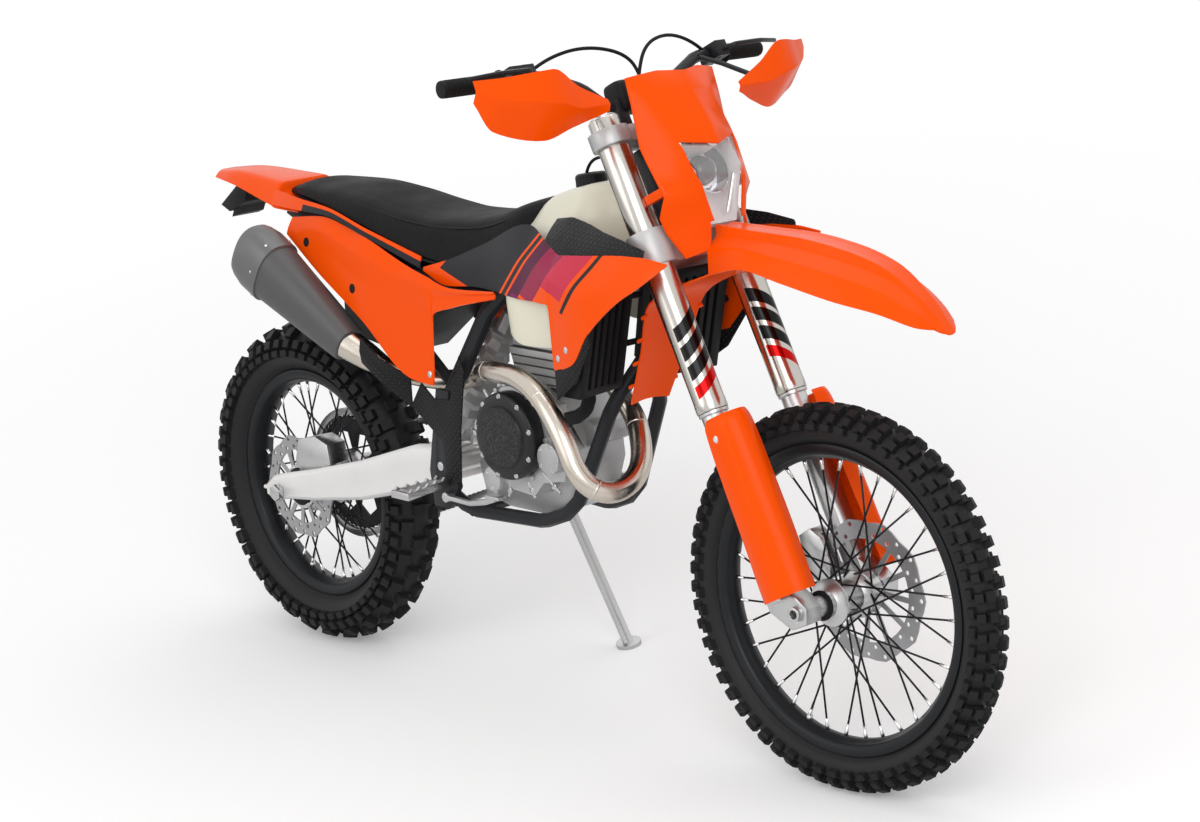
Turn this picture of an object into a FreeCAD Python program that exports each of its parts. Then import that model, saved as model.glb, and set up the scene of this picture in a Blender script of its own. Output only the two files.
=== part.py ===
import FreeCAD
import Part
import math
import os

V = FreeCAD.Vector

# The motorcycle is drawn upright, millimetres, +X forward, +Y left, +Z up, with the rear axle above x = 0.
# At the end it leans on its side stand with its wheels on the floor, its front wheel turned a little,
# and its footprint is centred on the origin.

# Driving dimensions
wheelbase = 1487.0
rear_axle_z = 340.0
front_rise = 6.69
frame_height = 900.0
frame_half_width = 100.0
lean_deg = 10.5
parked_steer_deg = 3.77
rake_deg = 26.1
axle_offset = 35.0
clamp_offset = 22.0
fork_half_width = 105.0
steering_lock_deg = 40.0
seat_gap = 0.3
pin_gap = 0.05
wall = 3.0
overrun = 60.0
tiny = 1e-4
bend_share = 0.38
chord_turn = math.radians(30)
tube_sides = 8
ring_sides = 14

# Tyres, measured over the knobs: the bead and rim follow from the height of the tyre's section
front_tyre_radius = 348.0
front_crown_radius = 46.0
front_section = 81.0
front_rim_half = 24.0
front_pitches = 24
rear_tyre_radius = 340.0
rear_crown_radius = 66.0
rear_section = 111.0
rear_rim_half = 31.0
rear_pitches = 24
rim_height = 12.0
rim_lip = 3.5
rim_well = 8.0
rim_depth = 18.0
knob_height = 10.0
front_bead_radius = front_tyre_radius - front_section
front_rim_inner = front_bead_radius - rim_depth
rear_bead_radius = rear_tyre_radius - rear_section
rear_rim_inner = rear_bead_radius - rim_depth

lean = math.radians(lean_deg)
rake = math.radians(rake_deg)
parked_steer = math.radians(parked_steer_deg)
rear_axle = V(0, 0, rear_axle_z)
front_axle = V(wheelbase, 0, rear_axle_z + front_rise)
fork_up = V(-math.sin(rake), 0, math.cos(rake))
fork_forward = V(math.cos(rake), 0, math.sin(rake))
fork_foot = front_axle - fork_forward * axle_offset
head_axis_n = -clamp_offset


def fork(n, y, t):
    """A place beside the fork legs: n ahead of them, y to the left, t up along them from the axle."""
    return fork_foot + fork_forward * n + V(0, y, 0) + fork_up * t


def head_point(t):
    return fork(head_axis_n, 0, t)


def framed(x_share, y_share, z_share):
    """A place on the frame, as shares of the wheelbase, the frame's half width and its height."""
    return V(x_share * wheelbase, y_share * frame_half_width, z_share * frame_height)


# How it stands: the front wheel turned, the whole leaned, and pitched until both tyres touch the floor

parked = FreeCAD.Placement(V(), FreeCAD.Rotation(fork_up, parked_steer_deg), head_point(0))
front_parked = parked.multVec(front_axle)
front_spindle = parked.Rotation.multVec(V(0, 1, 0))


def floor_normal(pitch):
    return V(-math.sin(pitch) * math.cos(lean), -math.sin(lean), math.cos(pitch) * math.cos(lean))


def drop(radius, crown, cant_sine):
    """From a wheel's centre down to the floor, for the sine of its spindle's slope."""
    return (radius - crown) * math.sqrt(1 - cant_sine ** 2) + crown


rear_drop = drop(rear_tyre_radius, rear_crown_radius, math.sin(lean))
axle_run = front_parked - rear_axle
pitch = 0
for attempt in range(3):
    cant_sine = front_spindle.dot(floor_normal(pitch))
    front_drop = drop(front_tyre_radius, front_crown_radius, cant_sine)
    rise = (front_drop - rear_drop + axle_run.y * math.sin(lean)) / math.cos(lean)
    pitch = math.acos(rise / math.hypot(axle_run.x, axle_run.z)) - math.atan2(axle_run.x, axle_run.z)
floor_up = floor_normal(pitch)
floor_level = floor_up.dot(rear_axle) - rear_drop
front_cant = math.asin(abs(cant_sine))


def on_floor(x, y):
    """The place on the floor under x, y, seen from the upright motorcycle."""
    return V(x, y, (floor_level - floor_up.x * x - floor_up.y * y) / floor_up.z)


# Ways of making solids

def rod(start, end, radius):
    run = end - start
    return Part.makeCylinder(radius, run.Length, start, run)


def polygon(points):
    return Part.makePolygon(list(points) + [points[0]])


def prism(points, run):
    return Part.Face(polygon(points)).extrude(run)


def side_plate(outline, y_low, y_high):
    """A flat plate whose outline lies in side view."""
    return prism([V(x, y_low, z) for x, z in outline], V(0, y_high - y_low, 0))


def spread(shares, x_start, x_size, z_start, z_size):
    """Shares of a box in side view, as places."""
    return [(x_start + a * x_size, z_start + b * z_size) for a, b in shares]


def laid_out(shares, x_start, x_size, half, z_start, z_size):
    """Stations as shares of a panel's length, half width and height, as places."""
    return [(x_start + x * x_size, [(y * half, z_start + z * z_size) for y, z in line]) for x,
            line in shares]


def across(v, side):
    """The same place on the right for -1, on the left for 1."""
    return V(v.x, side * v.y, v.z)


def closed(faces):
    solid = Part.makeSolid(Part.makeShell(faces))
    if solid.Volume < 0:
        solid.reverse()
    return solid


def loft(sections):
    """A solid through sections of as many corners, with flat facets alike on both halves of each."""
    faces = [Part.Face(polygon(sections[0])), Part.Face(polygon(sections[-1]))]
    for one, two in zip(sections, sections[1:]):
        for i in range(len(one)):
            j = (i + 1) % len(one)
            near, far = (i, j) if i < len(one) // 2 else (j, i)
            if one[near].distanceToPoint(two[near]) > tiny:
                faces.append(Part.Face(polygon([one[near], one[far], two[near]])))
            if one[far].distanceToPoint(two[far]) > tiny:
                faces.append(Part.Face(polygon([one[far], two[far], two[near]])))
    return closed(faces)


def mirrored(shape):
    return shape.mirror(V(0, 0, 0), V(0, 1, 0))


def pair(shape):
    return Part.makeCompound([shape, mirrored(shape)])


def fused(shapes):
    first = shapes[0]
    return first.multiFuse(shapes[1:]) if len(shapes) > 1 else first


def trimmed(shape, tools):
    return shape.cut(Part.makeCompound(tools)) if tools else shape


def bend_points(points, bend):
    """The route with each corner rounded by short chords of the bend radius, or as large as fits."""
    route = [points[0]]
    for before, corner, after in zip(points, points[1:], points[2:]):
        a = (before - corner).normalize()
        b = (after - corner).normalize()
        half = a.getAngle(b) / 2
        reach = min(bend / math.tan(half), (before - corner).Length * bend_share,
                    (after - corner).Length * bend_share)
        radius = reach * math.tan(half)
        centre = corner + (a + b).normalize() * (radius / math.sin(half))
        enter = corner + a * reach - centre
        leave = corner + b * reach - centre
        turn = math.pi - 2 * half
        steps = max(1, round(turn / chord_turn))
        for i in range(steps + 1):
            f = i / steps
            route.append(centre + enter * (math.sin((1 - f) * turn) / math.sin(turn))
                         + leave * (math.sin(f * turn) / math.sin(turn)))
    return route + [points[-1]]


def ring_about(place, way, radius, sides):
    """Corners of an even-sided section across a tube's way."""
    side = way.cross(V(0, 1, 0) if abs(way.y) < math.cos(math.pi / 6) else V(1, 0, 0)).normalize()
    other = way.cross(side)
    turns = [2 * math.pi * i / sides for i in range(sides)]
    return [place + side * (radius * math.cos(a)) + other * (radius * math.sin(a)) for a in turns]


def bent_tube(points, radius, bend, sides=tube_sides):
    """A tube of many flats along a route, mitred at each chord."""
    route = bend_points(points, bend)
    rings = [ring_about(route[0], (route[1] - route[0]).normalize(), radius, sides)]
    for i in range(1, len(route)):
        way = (route[i] - route[i - 1]).normalize()
        onward = (route[i + 1] - route[i]).normalize() if i + 1 < len(route) else way
        normal = way + onward
        rings.append([q + way * ((route[i] - q).dot(normal) / way.dot(normal)) for q in rings[-1]])
    faces = [Part.Face(polygon(rings[0])), Part.Face(polygon(rings[-1]))]
    for one, two in zip(rings, rings[1:]):
        for i in range(sides):
            j = (i + 1) % sides
            faces.append(Part.Face(polygon([one[i], one[j], two[j], two[i]])))
    return closed(faces)


def bar(start, end, radius, sides=tube_sides):
    return bent_tube([start, end], radius, radius, sides)


def cone(start, end, start_radius, end_radius, sides=tube_sides):
    way = (end - start).normalize()
    return loft([ring_about(start, way, start_radius, sides), ring_about(end, way, end_radius, sides)])


def cross_bar(x, z, y_low, y_high, radius, sides=tube_sides):
    """A bar that lies across the motorcycle."""
    return bar(V(x, y_low, z), V(x, y_high, z), radius, sides)


def around(centre, radius, angle, y):
    return centre + V(radius * math.cos(angle), y, radius * math.sin(angle))


def lathe(points, centre, sides):
    """A ring about a wheel's spindle, of many flats: the closed profile gives radius and y, in order."""
    faces = []
    angles = [2 * math.pi * i / sides - math.pi / 2 for i in range(sides + 1)]
    for (r0, y0), (r1, y1) in zip(points, points[1:] + points[:1]):
        for one, two in zip(angles, angles[1:]):
            corners = [around(centre, r0, one, y0), around(centre, r0, two, y0),
                       around(centre, r1, two, y1), around(centre, r1, one, y1)]
            if (r0 == 0 and r1 == 0) or (r0, y0) == (r1, y1):
                continue
            if r0 == 0:
                corners = corners[1:]
            elif r1 == 0:
                corners = corners[:3]
            faces.append(Part.Face(polygon(corners)))
    return closed(faces)


# Wheels

# each row of knobs across the crown: where it starts and ends, as shares of a right angle, and its phase
front_knob_shares = [(0.8, 0.3, 1)]
rear_knob_shares = [(0.88, 0.6, 0), (0.47, 0.22, 1)]


def tyre(centre, radius, crown, section, rim_half, cant, side_knobs, pitches):
    """The tyre with its knobs: a middle row whose edge stands on the floor, and rows down its sides."""
    equator = radius - crown
    body = crown - knob_height
    foot = rim_half - rim_lip - seat_gap
    bead = radius - section
    middle = cant / (math.pi / 2)
    strips = []
    for start, end, phase in side_knobs:
        strips += [(start, end, phase)]
    edges = [1] + [share for strip in strips for share in strip[:2]] + [middle]
    rows = [None]
    for start, end, phase in strips:
        rows += [phase, None]
    marks = edges + [-share for share in reversed(edges)]
    rows = rows + [0] + list(reversed(rows))
    cells = 2 * pitches
    angles = [2 * math.pi * i / cells - math.pi / 2 for i in range(cells + 1)]

    def spot(share, deep, angle):
        out = body if deep else crown
        return around(centre, equator + out * math.cos(share * math.pi / 2), angle,
                      out * math.sin(share * math.pi / 2))

    def raised(row, cell):
        return rows[row] is not None and cell % 2 == rows[row]

    faces = []
    for cell in range(cells):
        a, b = angles[cell], angles[cell + 1]
        for row, (one, two) in enumerate(zip(marks, marks[1:])):
            deep = not raised(row, cell)
            faces.append(Part.Face(polygon([spot(one, deep, a), spot(one, deep, b), spot(two, deep, b),
                                            spot(two, deep, a)])))
            if not deep:
                for p, q in (((one, a), (one, b)), ((one, b), (two, b)), ((two, b), (two, a)),
                             ((two, a), (one, a))):
                    faces.append(Part.Face(polygon([spot(p[0], False, p[1]), spot(q[0], False, q[1]),
                                                    spot(q[0], True, q[1]), spot(p[0], True, p[1])])))
        wall_line = [(equator, body), (bead + rim_height, foot), (bead + seat_gap, foot - rim_lip),
                     (bead + seat_gap, rim_lip - foot), (bead + rim_height, -foot), (equator, -body)]
        for (r0, y0), (r1, y1) in zip(wall_line, wall_line[1:]):
            faces.append(Part.Face(polygon([around(centre, r0, a, y0), around(centre, r0, b, y0),
                                            around(centre, r1, b, y1), around(centre, r1, a, y1)])))
    return closed(faces)


def rim(centre, bead, rim_half, pitches):
    """A hollow-backed rim with a lip on each side and a drop in the middle."""
    foot = rim_half - rim_lip
    well = rim_half / 3
    inner = bead - rim_depth
    half = [(inner, well), (bead - rim_well / 2, rim_half), (bead + rim_height, rim_half),
            (bead + rim_height, foot),
            (bead, foot - rim_lip), (bead - rim_well, well)]
    return lathe(half + [(r, -y) for r, y in reversed(half)], centre, pitches)


spoke_count = 36
spoke_radius = 2.2
spoke_sides = 3
spoke_cross_deg = 62.0


def spokes(centre, flange_radius, flange_y, rim_radius, pitches):
    """Wires from the flanges, crossing each other, up to the flats of the rim."""
    rods = []
    reach = rim_radius * math.cos(math.pi / pitches) - seat_gap
    for i in range(spoke_count):
        side = 1 if i % 2 else -1
        lead = 1 if (i // 2) % 2 else -1
        turn = math.radians(spoke_cross_deg) * lead
        at = 2 * math.pi * i / spoke_count - math.pi / 2
        at_rim = around(centre, reach, at, side * spoke_radius)
        at_hub = around(centre, flange_radius, at + turn, side * flange_y + lead * spoke_radius)
        rods.append(bar(at_hub, at_rim, spoke_radius, spoke_sides))
    return rods


hub_wall = 5.0
hub_sides = 12
flange_thickness = 5.0
front_hub_radius = 24.0
front_flange_hub_radius = 37.0
front_flange_y = 34.0
front_spacer_radius = 19.0
front_axle_radius = 13.0
lug_half_width = 20.0
front_spacer_y = fork_half_width - lug_half_width - seat_gap
rear_hub_radius = 30.0
rear_flange_hub_radius = 52.0
rear_flange_y = 38.0
rear_axle_radius = 12.5
rear_spacer_radius = 22.0
arm_inner_y = 97.0
arm_outer_y = 122.0
chain_y = 82.0
sprocket_thickness = 6.0
rear_disc_y = -66.0


def hub(centre, barrel, flange_r, flange_y, spacer_r, spacer_y, carriers):
    """Barrel, two spoke flanges and a spacer on each side, with seats for a disc or a sprocket."""
    half = flange_thickness / 2

    def side(sign):
        reach, seat = flange_y + half + hub_wall, barrel
        for y, r in carriers:
            if y * sign > 0:
                reach, seat = abs(y), r
        return [(barrel, sign * (flange_y - half - hub_wall)),
                (flange_r + hub_wall, sign * (flange_y - half)),
                (flange_r + hub_wall, sign * (flange_y + half)),
                (seat, sign * (flange_y + half + hub_wall)),
                (seat, sign * reach), (spacer_r, sign * reach), (spacer_r, sign * spacer_y)]
    low = side(-1)
    high = side(1)
    return lathe([(0, -spacer_y)] + list(reversed(low)) + high + [(0, spacer_y)], centre, hub_sides)


def spoked_hub(core, wires, centre, radius):
    """The hub with its wires and the bore for its axle."""
    return fused([core] + wires).cut(rod(centre - V(0, 2 * arm_outer_y, 0),
                                         centre + V(0, 2 * arm_outer_y, 0),
                                         radius + pin_gap))


disc_thickness = 3.5
front_disc_radius = 130.0
front_disc_y = 64.0
front_carrier_radius = 42.0
rear_disc_radius = 110.0
rear_carrier_radius = 46.0
disc_waves = 10
wave_share = 0.05
disc_window_share = 0.62
disc_windows = 6
disc_window_size_share = 0.5
window_sides = 5


def wave_disc(centre, radius, y_low, bore):
    """A brake disc with a waved edge and windows between the arms of its spider."""
    steps = disc_waves * 4
    edge = [around(centre, radius * (1 - wave_share / 2 * (1 - math.cos(math.pi * i / 2))),
                   2 * math.pi * i / steps, y_low) for i in range(steps)]
    plate = prism(edge, V(0, disc_thickness, 0))
    through = V(0, overrun, 0)
    middle = V(0, y_low, 0) + centre
    cuts = [bar(middle - through, middle + through, bore, hub_sides)]
    window = radius * disc_window_share
    for i in range(disc_windows):
        at = around(centre, window, 2 * math.pi * i / disc_windows + math.pi / disc_windows, y_low)
        cuts.append(bar(at - through, at + through, (window - bore) * disc_window_size_share, window_sides))
    return trimmed(plate, cuts)


# Chain drive

chain_pitch = 15.875
sprocket_teeth = 52
drive_teeth = 14
chain_half_height = 7.5
chain_waist = 5.0
chain_half_width = 9.0
tooth_share = 0.33
wrap_turn = math.radians(7)
sprocket_windows = 6
sprocket_window_share = 0.62
sprocket_pitch_radius = chain_pitch / 2 / math.sin(math.pi / sprocket_teeth)
drive_pitch_radius = chain_pitch / 2 / math.sin(math.pi / drive_teeth)
drive_place = framed(0.4183, 0, 0.5222)


def sprocket(centre, pitch_radius, teeth, y_mid, bore, tip_radius):
    """Teeth as a zigzag edge, short of the chain's rollers."""
    steps = teeth * 2
    depth = chain_pitch * tooth_share
    points = [around(centre, tip_radius - (depth if i % 2 else 0), math.pi * 2 * i / steps,
                     y_mid - sprocket_thickness / 2) for i in range(steps)]
    plate = prism(points, V(0, sprocket_thickness, 0))
    through = V(0, overrun, 0)
    middle = centre + V(0, y_mid, 0)
    cuts = [bar(middle - through, middle + through, bore, hub_sides)]
    window = (tip_radius - depth + bore) / 2
    if teeth > drive_teeth:
        for i in range(sprocket_windows):
            at = around(centre, window, 2 * math.pi * i / sprocket_windows, y_mid)
            cuts.append(bar(at - through, at + through, (window - bore) * sprocket_window_share,
                            window_sides))
    return trimmed(plate, cuts)


def chain_side(sign):
    """One edge of the chain in side view: links on both runs, each waisted between its pins."""
    span = drive_place - rear_axle
    tilt = math.atan2(span.z, span.x)
    lead = math.acos((sprocket_pitch_radius - drive_pitch_radius) / span.Length)
    reach = sign * chain_half_height
    places = []
    arcs = [(rear_axle, sprocket_pitch_radius, tilt + lead, tilt + 2 * math.pi - lead),
            (drive_place, drive_pitch_radius, tilt - lead, tilt + lead)]
    for centre, radius, start, end in arcs:
        steps = math.ceil((end - start) / wrap_turn)
        places.append([around(centre, radius + reach, start + (end - start) * i / steps, 0)
                       for i in range(steps + 1)])
    outline = []
    for arc, onward in ((places[0], places[1]), (places[1], places[0])):
        outline += arc
        run = onward[0] - arc[-1]
        way = run / run.Length
        inward = V(way.z, 0, -way.x) * (sign * (chain_half_height - chain_waist))
        if (arc[len(arc) // 2] - arc[-1]).dot(inward) * sign < 0:
            inward = inward * -1
        links = round(run.Length / chain_pitch)
        for i in range(links):
            if i:
                outline.append(arc[-1] + run * (i / links))
            outline.append(arc[-1] + run * ((i + 1 / 2) / links) + inward)
    return outline


def chain():
    outer = Part.Face(polygon(chain_side(1)))
    inner = Part.Face(polygon(chain_side(-1)))
    loop = outer.cut(inner).extrude(V(0, 2 * chain_half_width, 0))
    return loop.translate(V(0, chain_y - chain_half_width, 0))


# Shock absorber and its ears

shock_low = framed(0.304, 0, 0.5533)
shock_top = framed(0.4492, 0, 0.8878)
shock_radius = 20.0
spring_radius = 33.0
shock_eye_radius = 15.0
shock_eye_half = 22.0
ear_thickness = 6.0
spring_low_share = 0.2
spring_high_share = 0.78
coil_count = 6
coil_waist_share = 0.8


def clevis_outline(eye, root, radius):
    """Outline of an ear round an eye, as wide at its root, as (x, z) places."""
    run = (root - eye).normalize()
    side = V(-run.z, 0, run.x) * radius
    far = eye - run * radius
    return [(p.x, p.z) for p in (far - side / 2, eye - side, root - side, root + side, eye + side,
                                 far + side / 2)]


def shock():
    run = shock_top - shock_low
    rod_radius = shock_radius / 2
    body = bar(shock_low, shock_top, rod_radius)
    low, high = shock_low + run * (spring_low_share / 2), shock_low + run * (1 - spring_low_share / 2)
    outer = bar(low, high, shock_radius)
    way = run / run.Length
    rings = []
    for i in range(2 * coil_count + 1):
        at = shock_low + run * (spring_low_share + (spring_high_share - spring_low_share) * i / 2 / coil_count)
        rings.append(ring_about(at, way, spring_radius * (coil_waist_share if i % 2 else 1), tube_sides))
    half = V(0, shock_eye_half, 0)
    eyes = [bar(at - half, at + half, shock_eye_radius) for at in (shock_low, shock_top)]
    return fused([body, outer, loft(rings)] + eyes)


# Swingarm

pivot = framed(0.3665, 0, 0.5267)
pivot_radius = 9.0
pivot_boss_radius = 20.0
arm_front_inner_y = 80.0
arm_front_outer_y = 108.0
arm_left_inner_y = 95.5
arm_left_outer_y = 111.0
arm_chamfer = 9.0
arm_rear_reach = 42.0
arm_length = pivot.x + arm_rear_reach
arm_height = 187.0
arm_low_z = 318.0
arm_narrow_share = 0.55
arm_wide_share = 0.82
# along the arm: how far forward, its lower edge and its upper edge
arm_shares = [
    (0, 0.0214, 0.2139), (0.0375, 0, 0.2888), (0.1227, 0.0535, 0.3529), (0.276, 0.107, 0.4599),
    (0.5486, 0.246, 0.6845), (0.8211, 0.4599, 0.9626), (0.9233, 0.5401, 1), (1, 0.7273, 0.9412)]
bridge_length = 74.0
bridge_height = 62.0
tyre_room = 59.0
bridge_x = rear_tyre_radius + tyre_room + bridge_length / 2
adjuster_radius = 5.0
adjuster_length = 22.0
slider_length = 30.0
slider_height = 26.0
slider_thickness = 6.0


def swingarm():
    def arm(front_inner, front_outer, side):
        sections = []
        for share, low_share, high_share in arm_shares:
            x = share * arm_length - arm_rear_reach
            low = arm_low_z + low_share * arm_height
            high = arm_low_z + high_share * arm_height
            swell = min(1, max(0, (share - arm_narrow_share) / (arm_wide_share - arm_narrow_share)))
            inner = arm_inner_y + (front_inner - arm_inner_y) * swell
            outer = arm_outer_y + (front_outer - arm_outer_y) * swell
            cut = min(arm_chamfer, (outer - inner) / 3)
            ring = [(inner, low + cut), (inner, high - cut), (inner + cut, high), (outer - cut, high),
                    (outer, high - cut), (outer, low + cut), (outer - cut, low), (inner + cut, low)]
            sections.append([V(x, side * y, z) for y, z in ring])
        return loft(sections)

    right = arm(arm_front_inner_y, arm_front_outer_y, -1)
    left = arm(arm_left_inner_y, arm_left_outer_y, 1)
    bridge_z = rear_axle_z + (pivot.z - rear_axle_z) * bridge_x / pivot.x
    bridge = Part.makeBox(bridge_length, arm_left_inner_y + arm_front_inner_y + hub_wall, bridge_height,
                          V(bridge_x - bridge_length / 2, -arm_front_inner_y - hub_wall / 2,
                            bridge_z - bridge_height / 2))
    boss = cross_bar(pivot.x, pivot.z, -arm_front_outer_y, arm_left_outer_y, pivot_boss_radius, ring_sides)
    ears = [side_plate(clevis_outline(shock_low, V(bridge_x, 0, bridge_z), shock_eye_radius), y,
                       y + ear_thickness)
            for y in (shock_eye_half + seat_gap, -shock_eye_half - seat_gap - ear_thickness)]
    ends = []
    for side in (-1, 1):
        tip = V(-arm_rear_reach, side * (arm_inner_y + arm_outer_y) / 2, rear_axle_z)
        ends.append(bar(tip - V(adjuster_length, 0, 0), tip + V(adjuster_length, 0, 0), adjuster_radius))
    bore = cross_bar(pivot.x, pivot.z, -2 * arm_outer_y, 2 * arm_outer_y, pivot_radius + pin_gap, hub_sides)
    slot = rod(rear_axle - V(0, 2 * arm_outer_y, 0), rear_axle + V(0, 2 * arm_outer_y, 0),
               rear_axle_radius + pin_gap)
    return trimmed(fused([right, left, bridge, boss] + ears + ends), [bore, slot])


def rear_axle_shaft():
    """The spindle with its slider blocks on the outer faces of the arm."""
    near = arm_outer_y + seat_gap
    shapes = [rod(rear_axle - V(0, near + hub_wall, 0), rear_axle + V(0, near + hub_wall, 0),
                  rear_axle_radius)]
    for side in (-1, 1):
        block = Part.makeBox(slider_length, slider_thickness, slider_height,
                             rear_axle + V(-slider_length / 2, side * (near + slider_thickness / 2)
                                           - slider_thickness / 2, -slider_height / 2))
        head = bar(rear_axle + V(0, side * near, 0), rear_axle + V(0,
                                                                   side * (near + 2 * slider_thickness), 0),
                   rear_axle_radius * math.sqrt(2), window_sides + 1)
        shapes += [block, head]
    return fused(shapes)


# Frame

cradle_tube = 14.0
spar_tube = 17.0
down_tube = 20.0
head_radius = 29.0
stem_radius = 15.0
lower_clamp_t = 655.0
lower_clamp_height = 64.0
upper_clamp_t = 884.0
upper_clamp_height = 30.0
head_gap = 7.0
head_low_t = lower_clamp_t + lower_clamp_height + head_gap
head_high_t = upper_clamp_t - head_gap
spar_start_share = 0.2
down_start_share = 0.62
plate_thickness = 12.0
plate_inner_y = 112.0
down_split = framed(0.6806, 0, 0.8044)
cradle_front = framed(0.6624, 0.62, 0.7111)
cradle_knee = framed(0.5945, 0.78, 0.4756)
cradle_bottom = framed(0.538, 0.84, 0.44)
cradle_rear = framed(0.4102, 1.06, 0.4378)
spar_knee = framed(0.4707, 0.88, 0.9111)
spar_foot = framed(0.3766, 1.06, 0.6667)
plate_foot = framed(0.3766, 1.09, 0.4667)
plate_shares = [(0.1, 0), (0.62, 0), (1, 0.2), (0.72, 0.55), (0.86, 1), (0.42, 1), (0.18, 0.6), (0, 0.3)]
plate_behind = 33.0
plate_below = 82.0
plate_x = pivot.x - plate_behind
plate_length = 84.0
plate_z = pivot.z - plate_below
plate_height = 236.0
tab_radius = 6.0
tab_shares = [0.4, 0.85]


def radiator_tabs():
    """Stubs from the down tube to the radiators' inner faces."""
    reach = radiator_inner_y - seat_gap
    tabs = []
    for share in tab_shares:
        z = radiator_low_z + (radiator_high_z - radiator_low_z) * share
        x = radiator_low_x + (radiator_high_x - radiator_low_x) * share - radiator_depth / 3
        tabs.append(cross_bar(x, z, -reach, reach, tab_radius))
    return tabs


def main_frame():
    head_run = head_high_t - head_low_t
    parts = [bar(head_point(head_low_t), head_point(head_high_t), head_radius, ring_sides)]
    parts.append(bar(head_point(head_low_t + head_run * down_start_share), down_split, down_tube))
    top = head_point(head_low_t + head_run * spar_start_share)
    for side in (-1, 1):
        parts.append(bent_tube([down_split, across(cradle_front, side), across(cradle_knee, side),
                                across(cradle_bottom, side), across(cradle_rear, side),
                                across(plate_foot, side)],
                               cradle_tube, overrun))
        parts.append(bent_tube([top + V(0, side * head_radius / 3, 0), across(spar_knee, side),
                                across(spar_foot, side)], spar_tube, 2 * overrun))
        y = plate_inner_y if side > 0 else -plate_inner_y - plate_thickness
        parts.append(side_plate(spread(plate_shares, plate_x, plate_length, plate_z, plate_height),
                                y, y + plate_thickness))
    parts.append(bar(across(spar_knee, -1), spar_knee, cradle_tube))
    parts.append(bar(across(cradle_rear, -1), cradle_rear, cradle_tube))
    for y in (shock_eye_half + seat_gap, -shock_eye_half - seat_gap - ear_thickness):
        root = V(spar_knee.x, 0, spar_knee.z)
        parts.append(side_plate(clevis_outline(shock_top, root, shock_eye_radius), y, y + ear_thickness))
    pin = stand_axis * stand_eye_half
    parts.append(rod(stand_pivot - stand_axis * stand_root, stand_pivot + pin, stand_pin_radius))
    stem = rod(head_point(head_low_t - overrun), head_point(head_high_t + overrun), stem_radius + pin_gap)
    bolt = cross_bar(pivot.x, pivot.z, -2 * arm_outer_y, 2 * arm_outer_y, pivot_radius + pin_gap, hub_sides)
    return trimmed(fused(parts + radiator_tabs()), [stem, bolt])


# Rear subframe and airbox

subframe_tube = 11.0
rail_front = framed(0.3934, 0.92, 0.9222)
rail_rear = framed(0.0403, 0.52, 1.0278)
strut_low = framed(0.38, 1, 0.7111)
strut_high = framed(0.1345, 0.62, 0.98)
post_radius = 7.0
panel_post_shares = [0.24, 0.726]
fender_post_y = 30.0
airbox_front_x = 500.0
airbox_length = 330.0
airbox_rear_half = 44.0
airbox_front_half = 68.0
airbox_shares = [(0, 0.1), (0, 0.95), (0.5, 1), (1, 0.92), (1, 0.5), (0.6, 0)]
airbox_z = 665.0
airbox_height = 205.0
airbox_post_share = 0.616


def on_strut(share):
    return strut_low + (strut_high - strut_low) * share


def on_rail(share):
    return rail_front + (rail_rear - rail_front) * share


def subframe():
    tubes = []
    for side in (-1, 1):
        tubes.append(bent_tube([across(spar_knee, side), across(rail_front, side), across(rail_rear, side)],
                               subframe_tube, overrun))
        tubes.append(bar(across(strut_low, side), across(strut_high, side), subframe_tube))
    posts = []
    for share in panel_post_shares:
        spot = across(on_strut(share), -1)
        post = bar(spot, spot - V(0, 2 * overrun, 0), post_radius)
        posts.append(up_to(post, side_panel(), V(0, -1, 0)))
    low = V(rail_rear.x, -fender_post_y, rail_rear.z)
    posts.append(up_to(bar(low, low + V(0, 0, overrun), post_radius), rear_fender(), V(0, 0, 1)))
    tubes += posts + [mirrored(post) for post in posts]
    cross_z = strut_high.z + subframe_tube
    tubes.append(cross_bar(strut_high.x, cross_z, -rail_rear.y, rail_rear.y, subframe_tube))
    tubes.append(bar(across(rail_rear, -1), rail_rear, subframe_tube))
    return fused(tubes).cut(main_frame())


def airbox():
    outline = spread(airbox_shares, airbox_front_x - airbox_length, airbox_length, airbox_z, airbox_height)
    rear_x = airbox_front_x - airbox_length

    def half(x):
        return airbox_rear_half + (airbox_front_half - airbox_rear_half) * (x - rear_x) / airbox_length
    body = loft([[V(x, -half(x), z) for x, z in outline], [V(x, half(x), z) for x, z in outline]])
    spot = on_strut(airbox_post_share)
    post = bar(across(spot, -1), spot, post_radius)
    struts = [bar(across(strut_low, s), across(strut_high, s), subframe_tube + seat_gap) for s in (-1, 1)]
    return trimmed(fused([body, post]), struts)


# Engine

crank_half = 62.0
crank_x = 590.0
crank_length = 285.0
crank_z = 402.0
crank_height = 250.0
crank_shares = [(0.08, 0.55), (0, 0.3), (0.06, 0.06), (0.3, 0), (0.72, 0), (0.9, 0.12), (1, 0.42),
                (0.98, 0.66),
                (0.86, 0.92), (0.42, 1), (0.2, 0.86)]
clutch_place = framed(0.5124, 0, 0.6289)
clutch_radius = 84.0
clutch_y = -150.0
side_cover_y = -112.0
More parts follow.
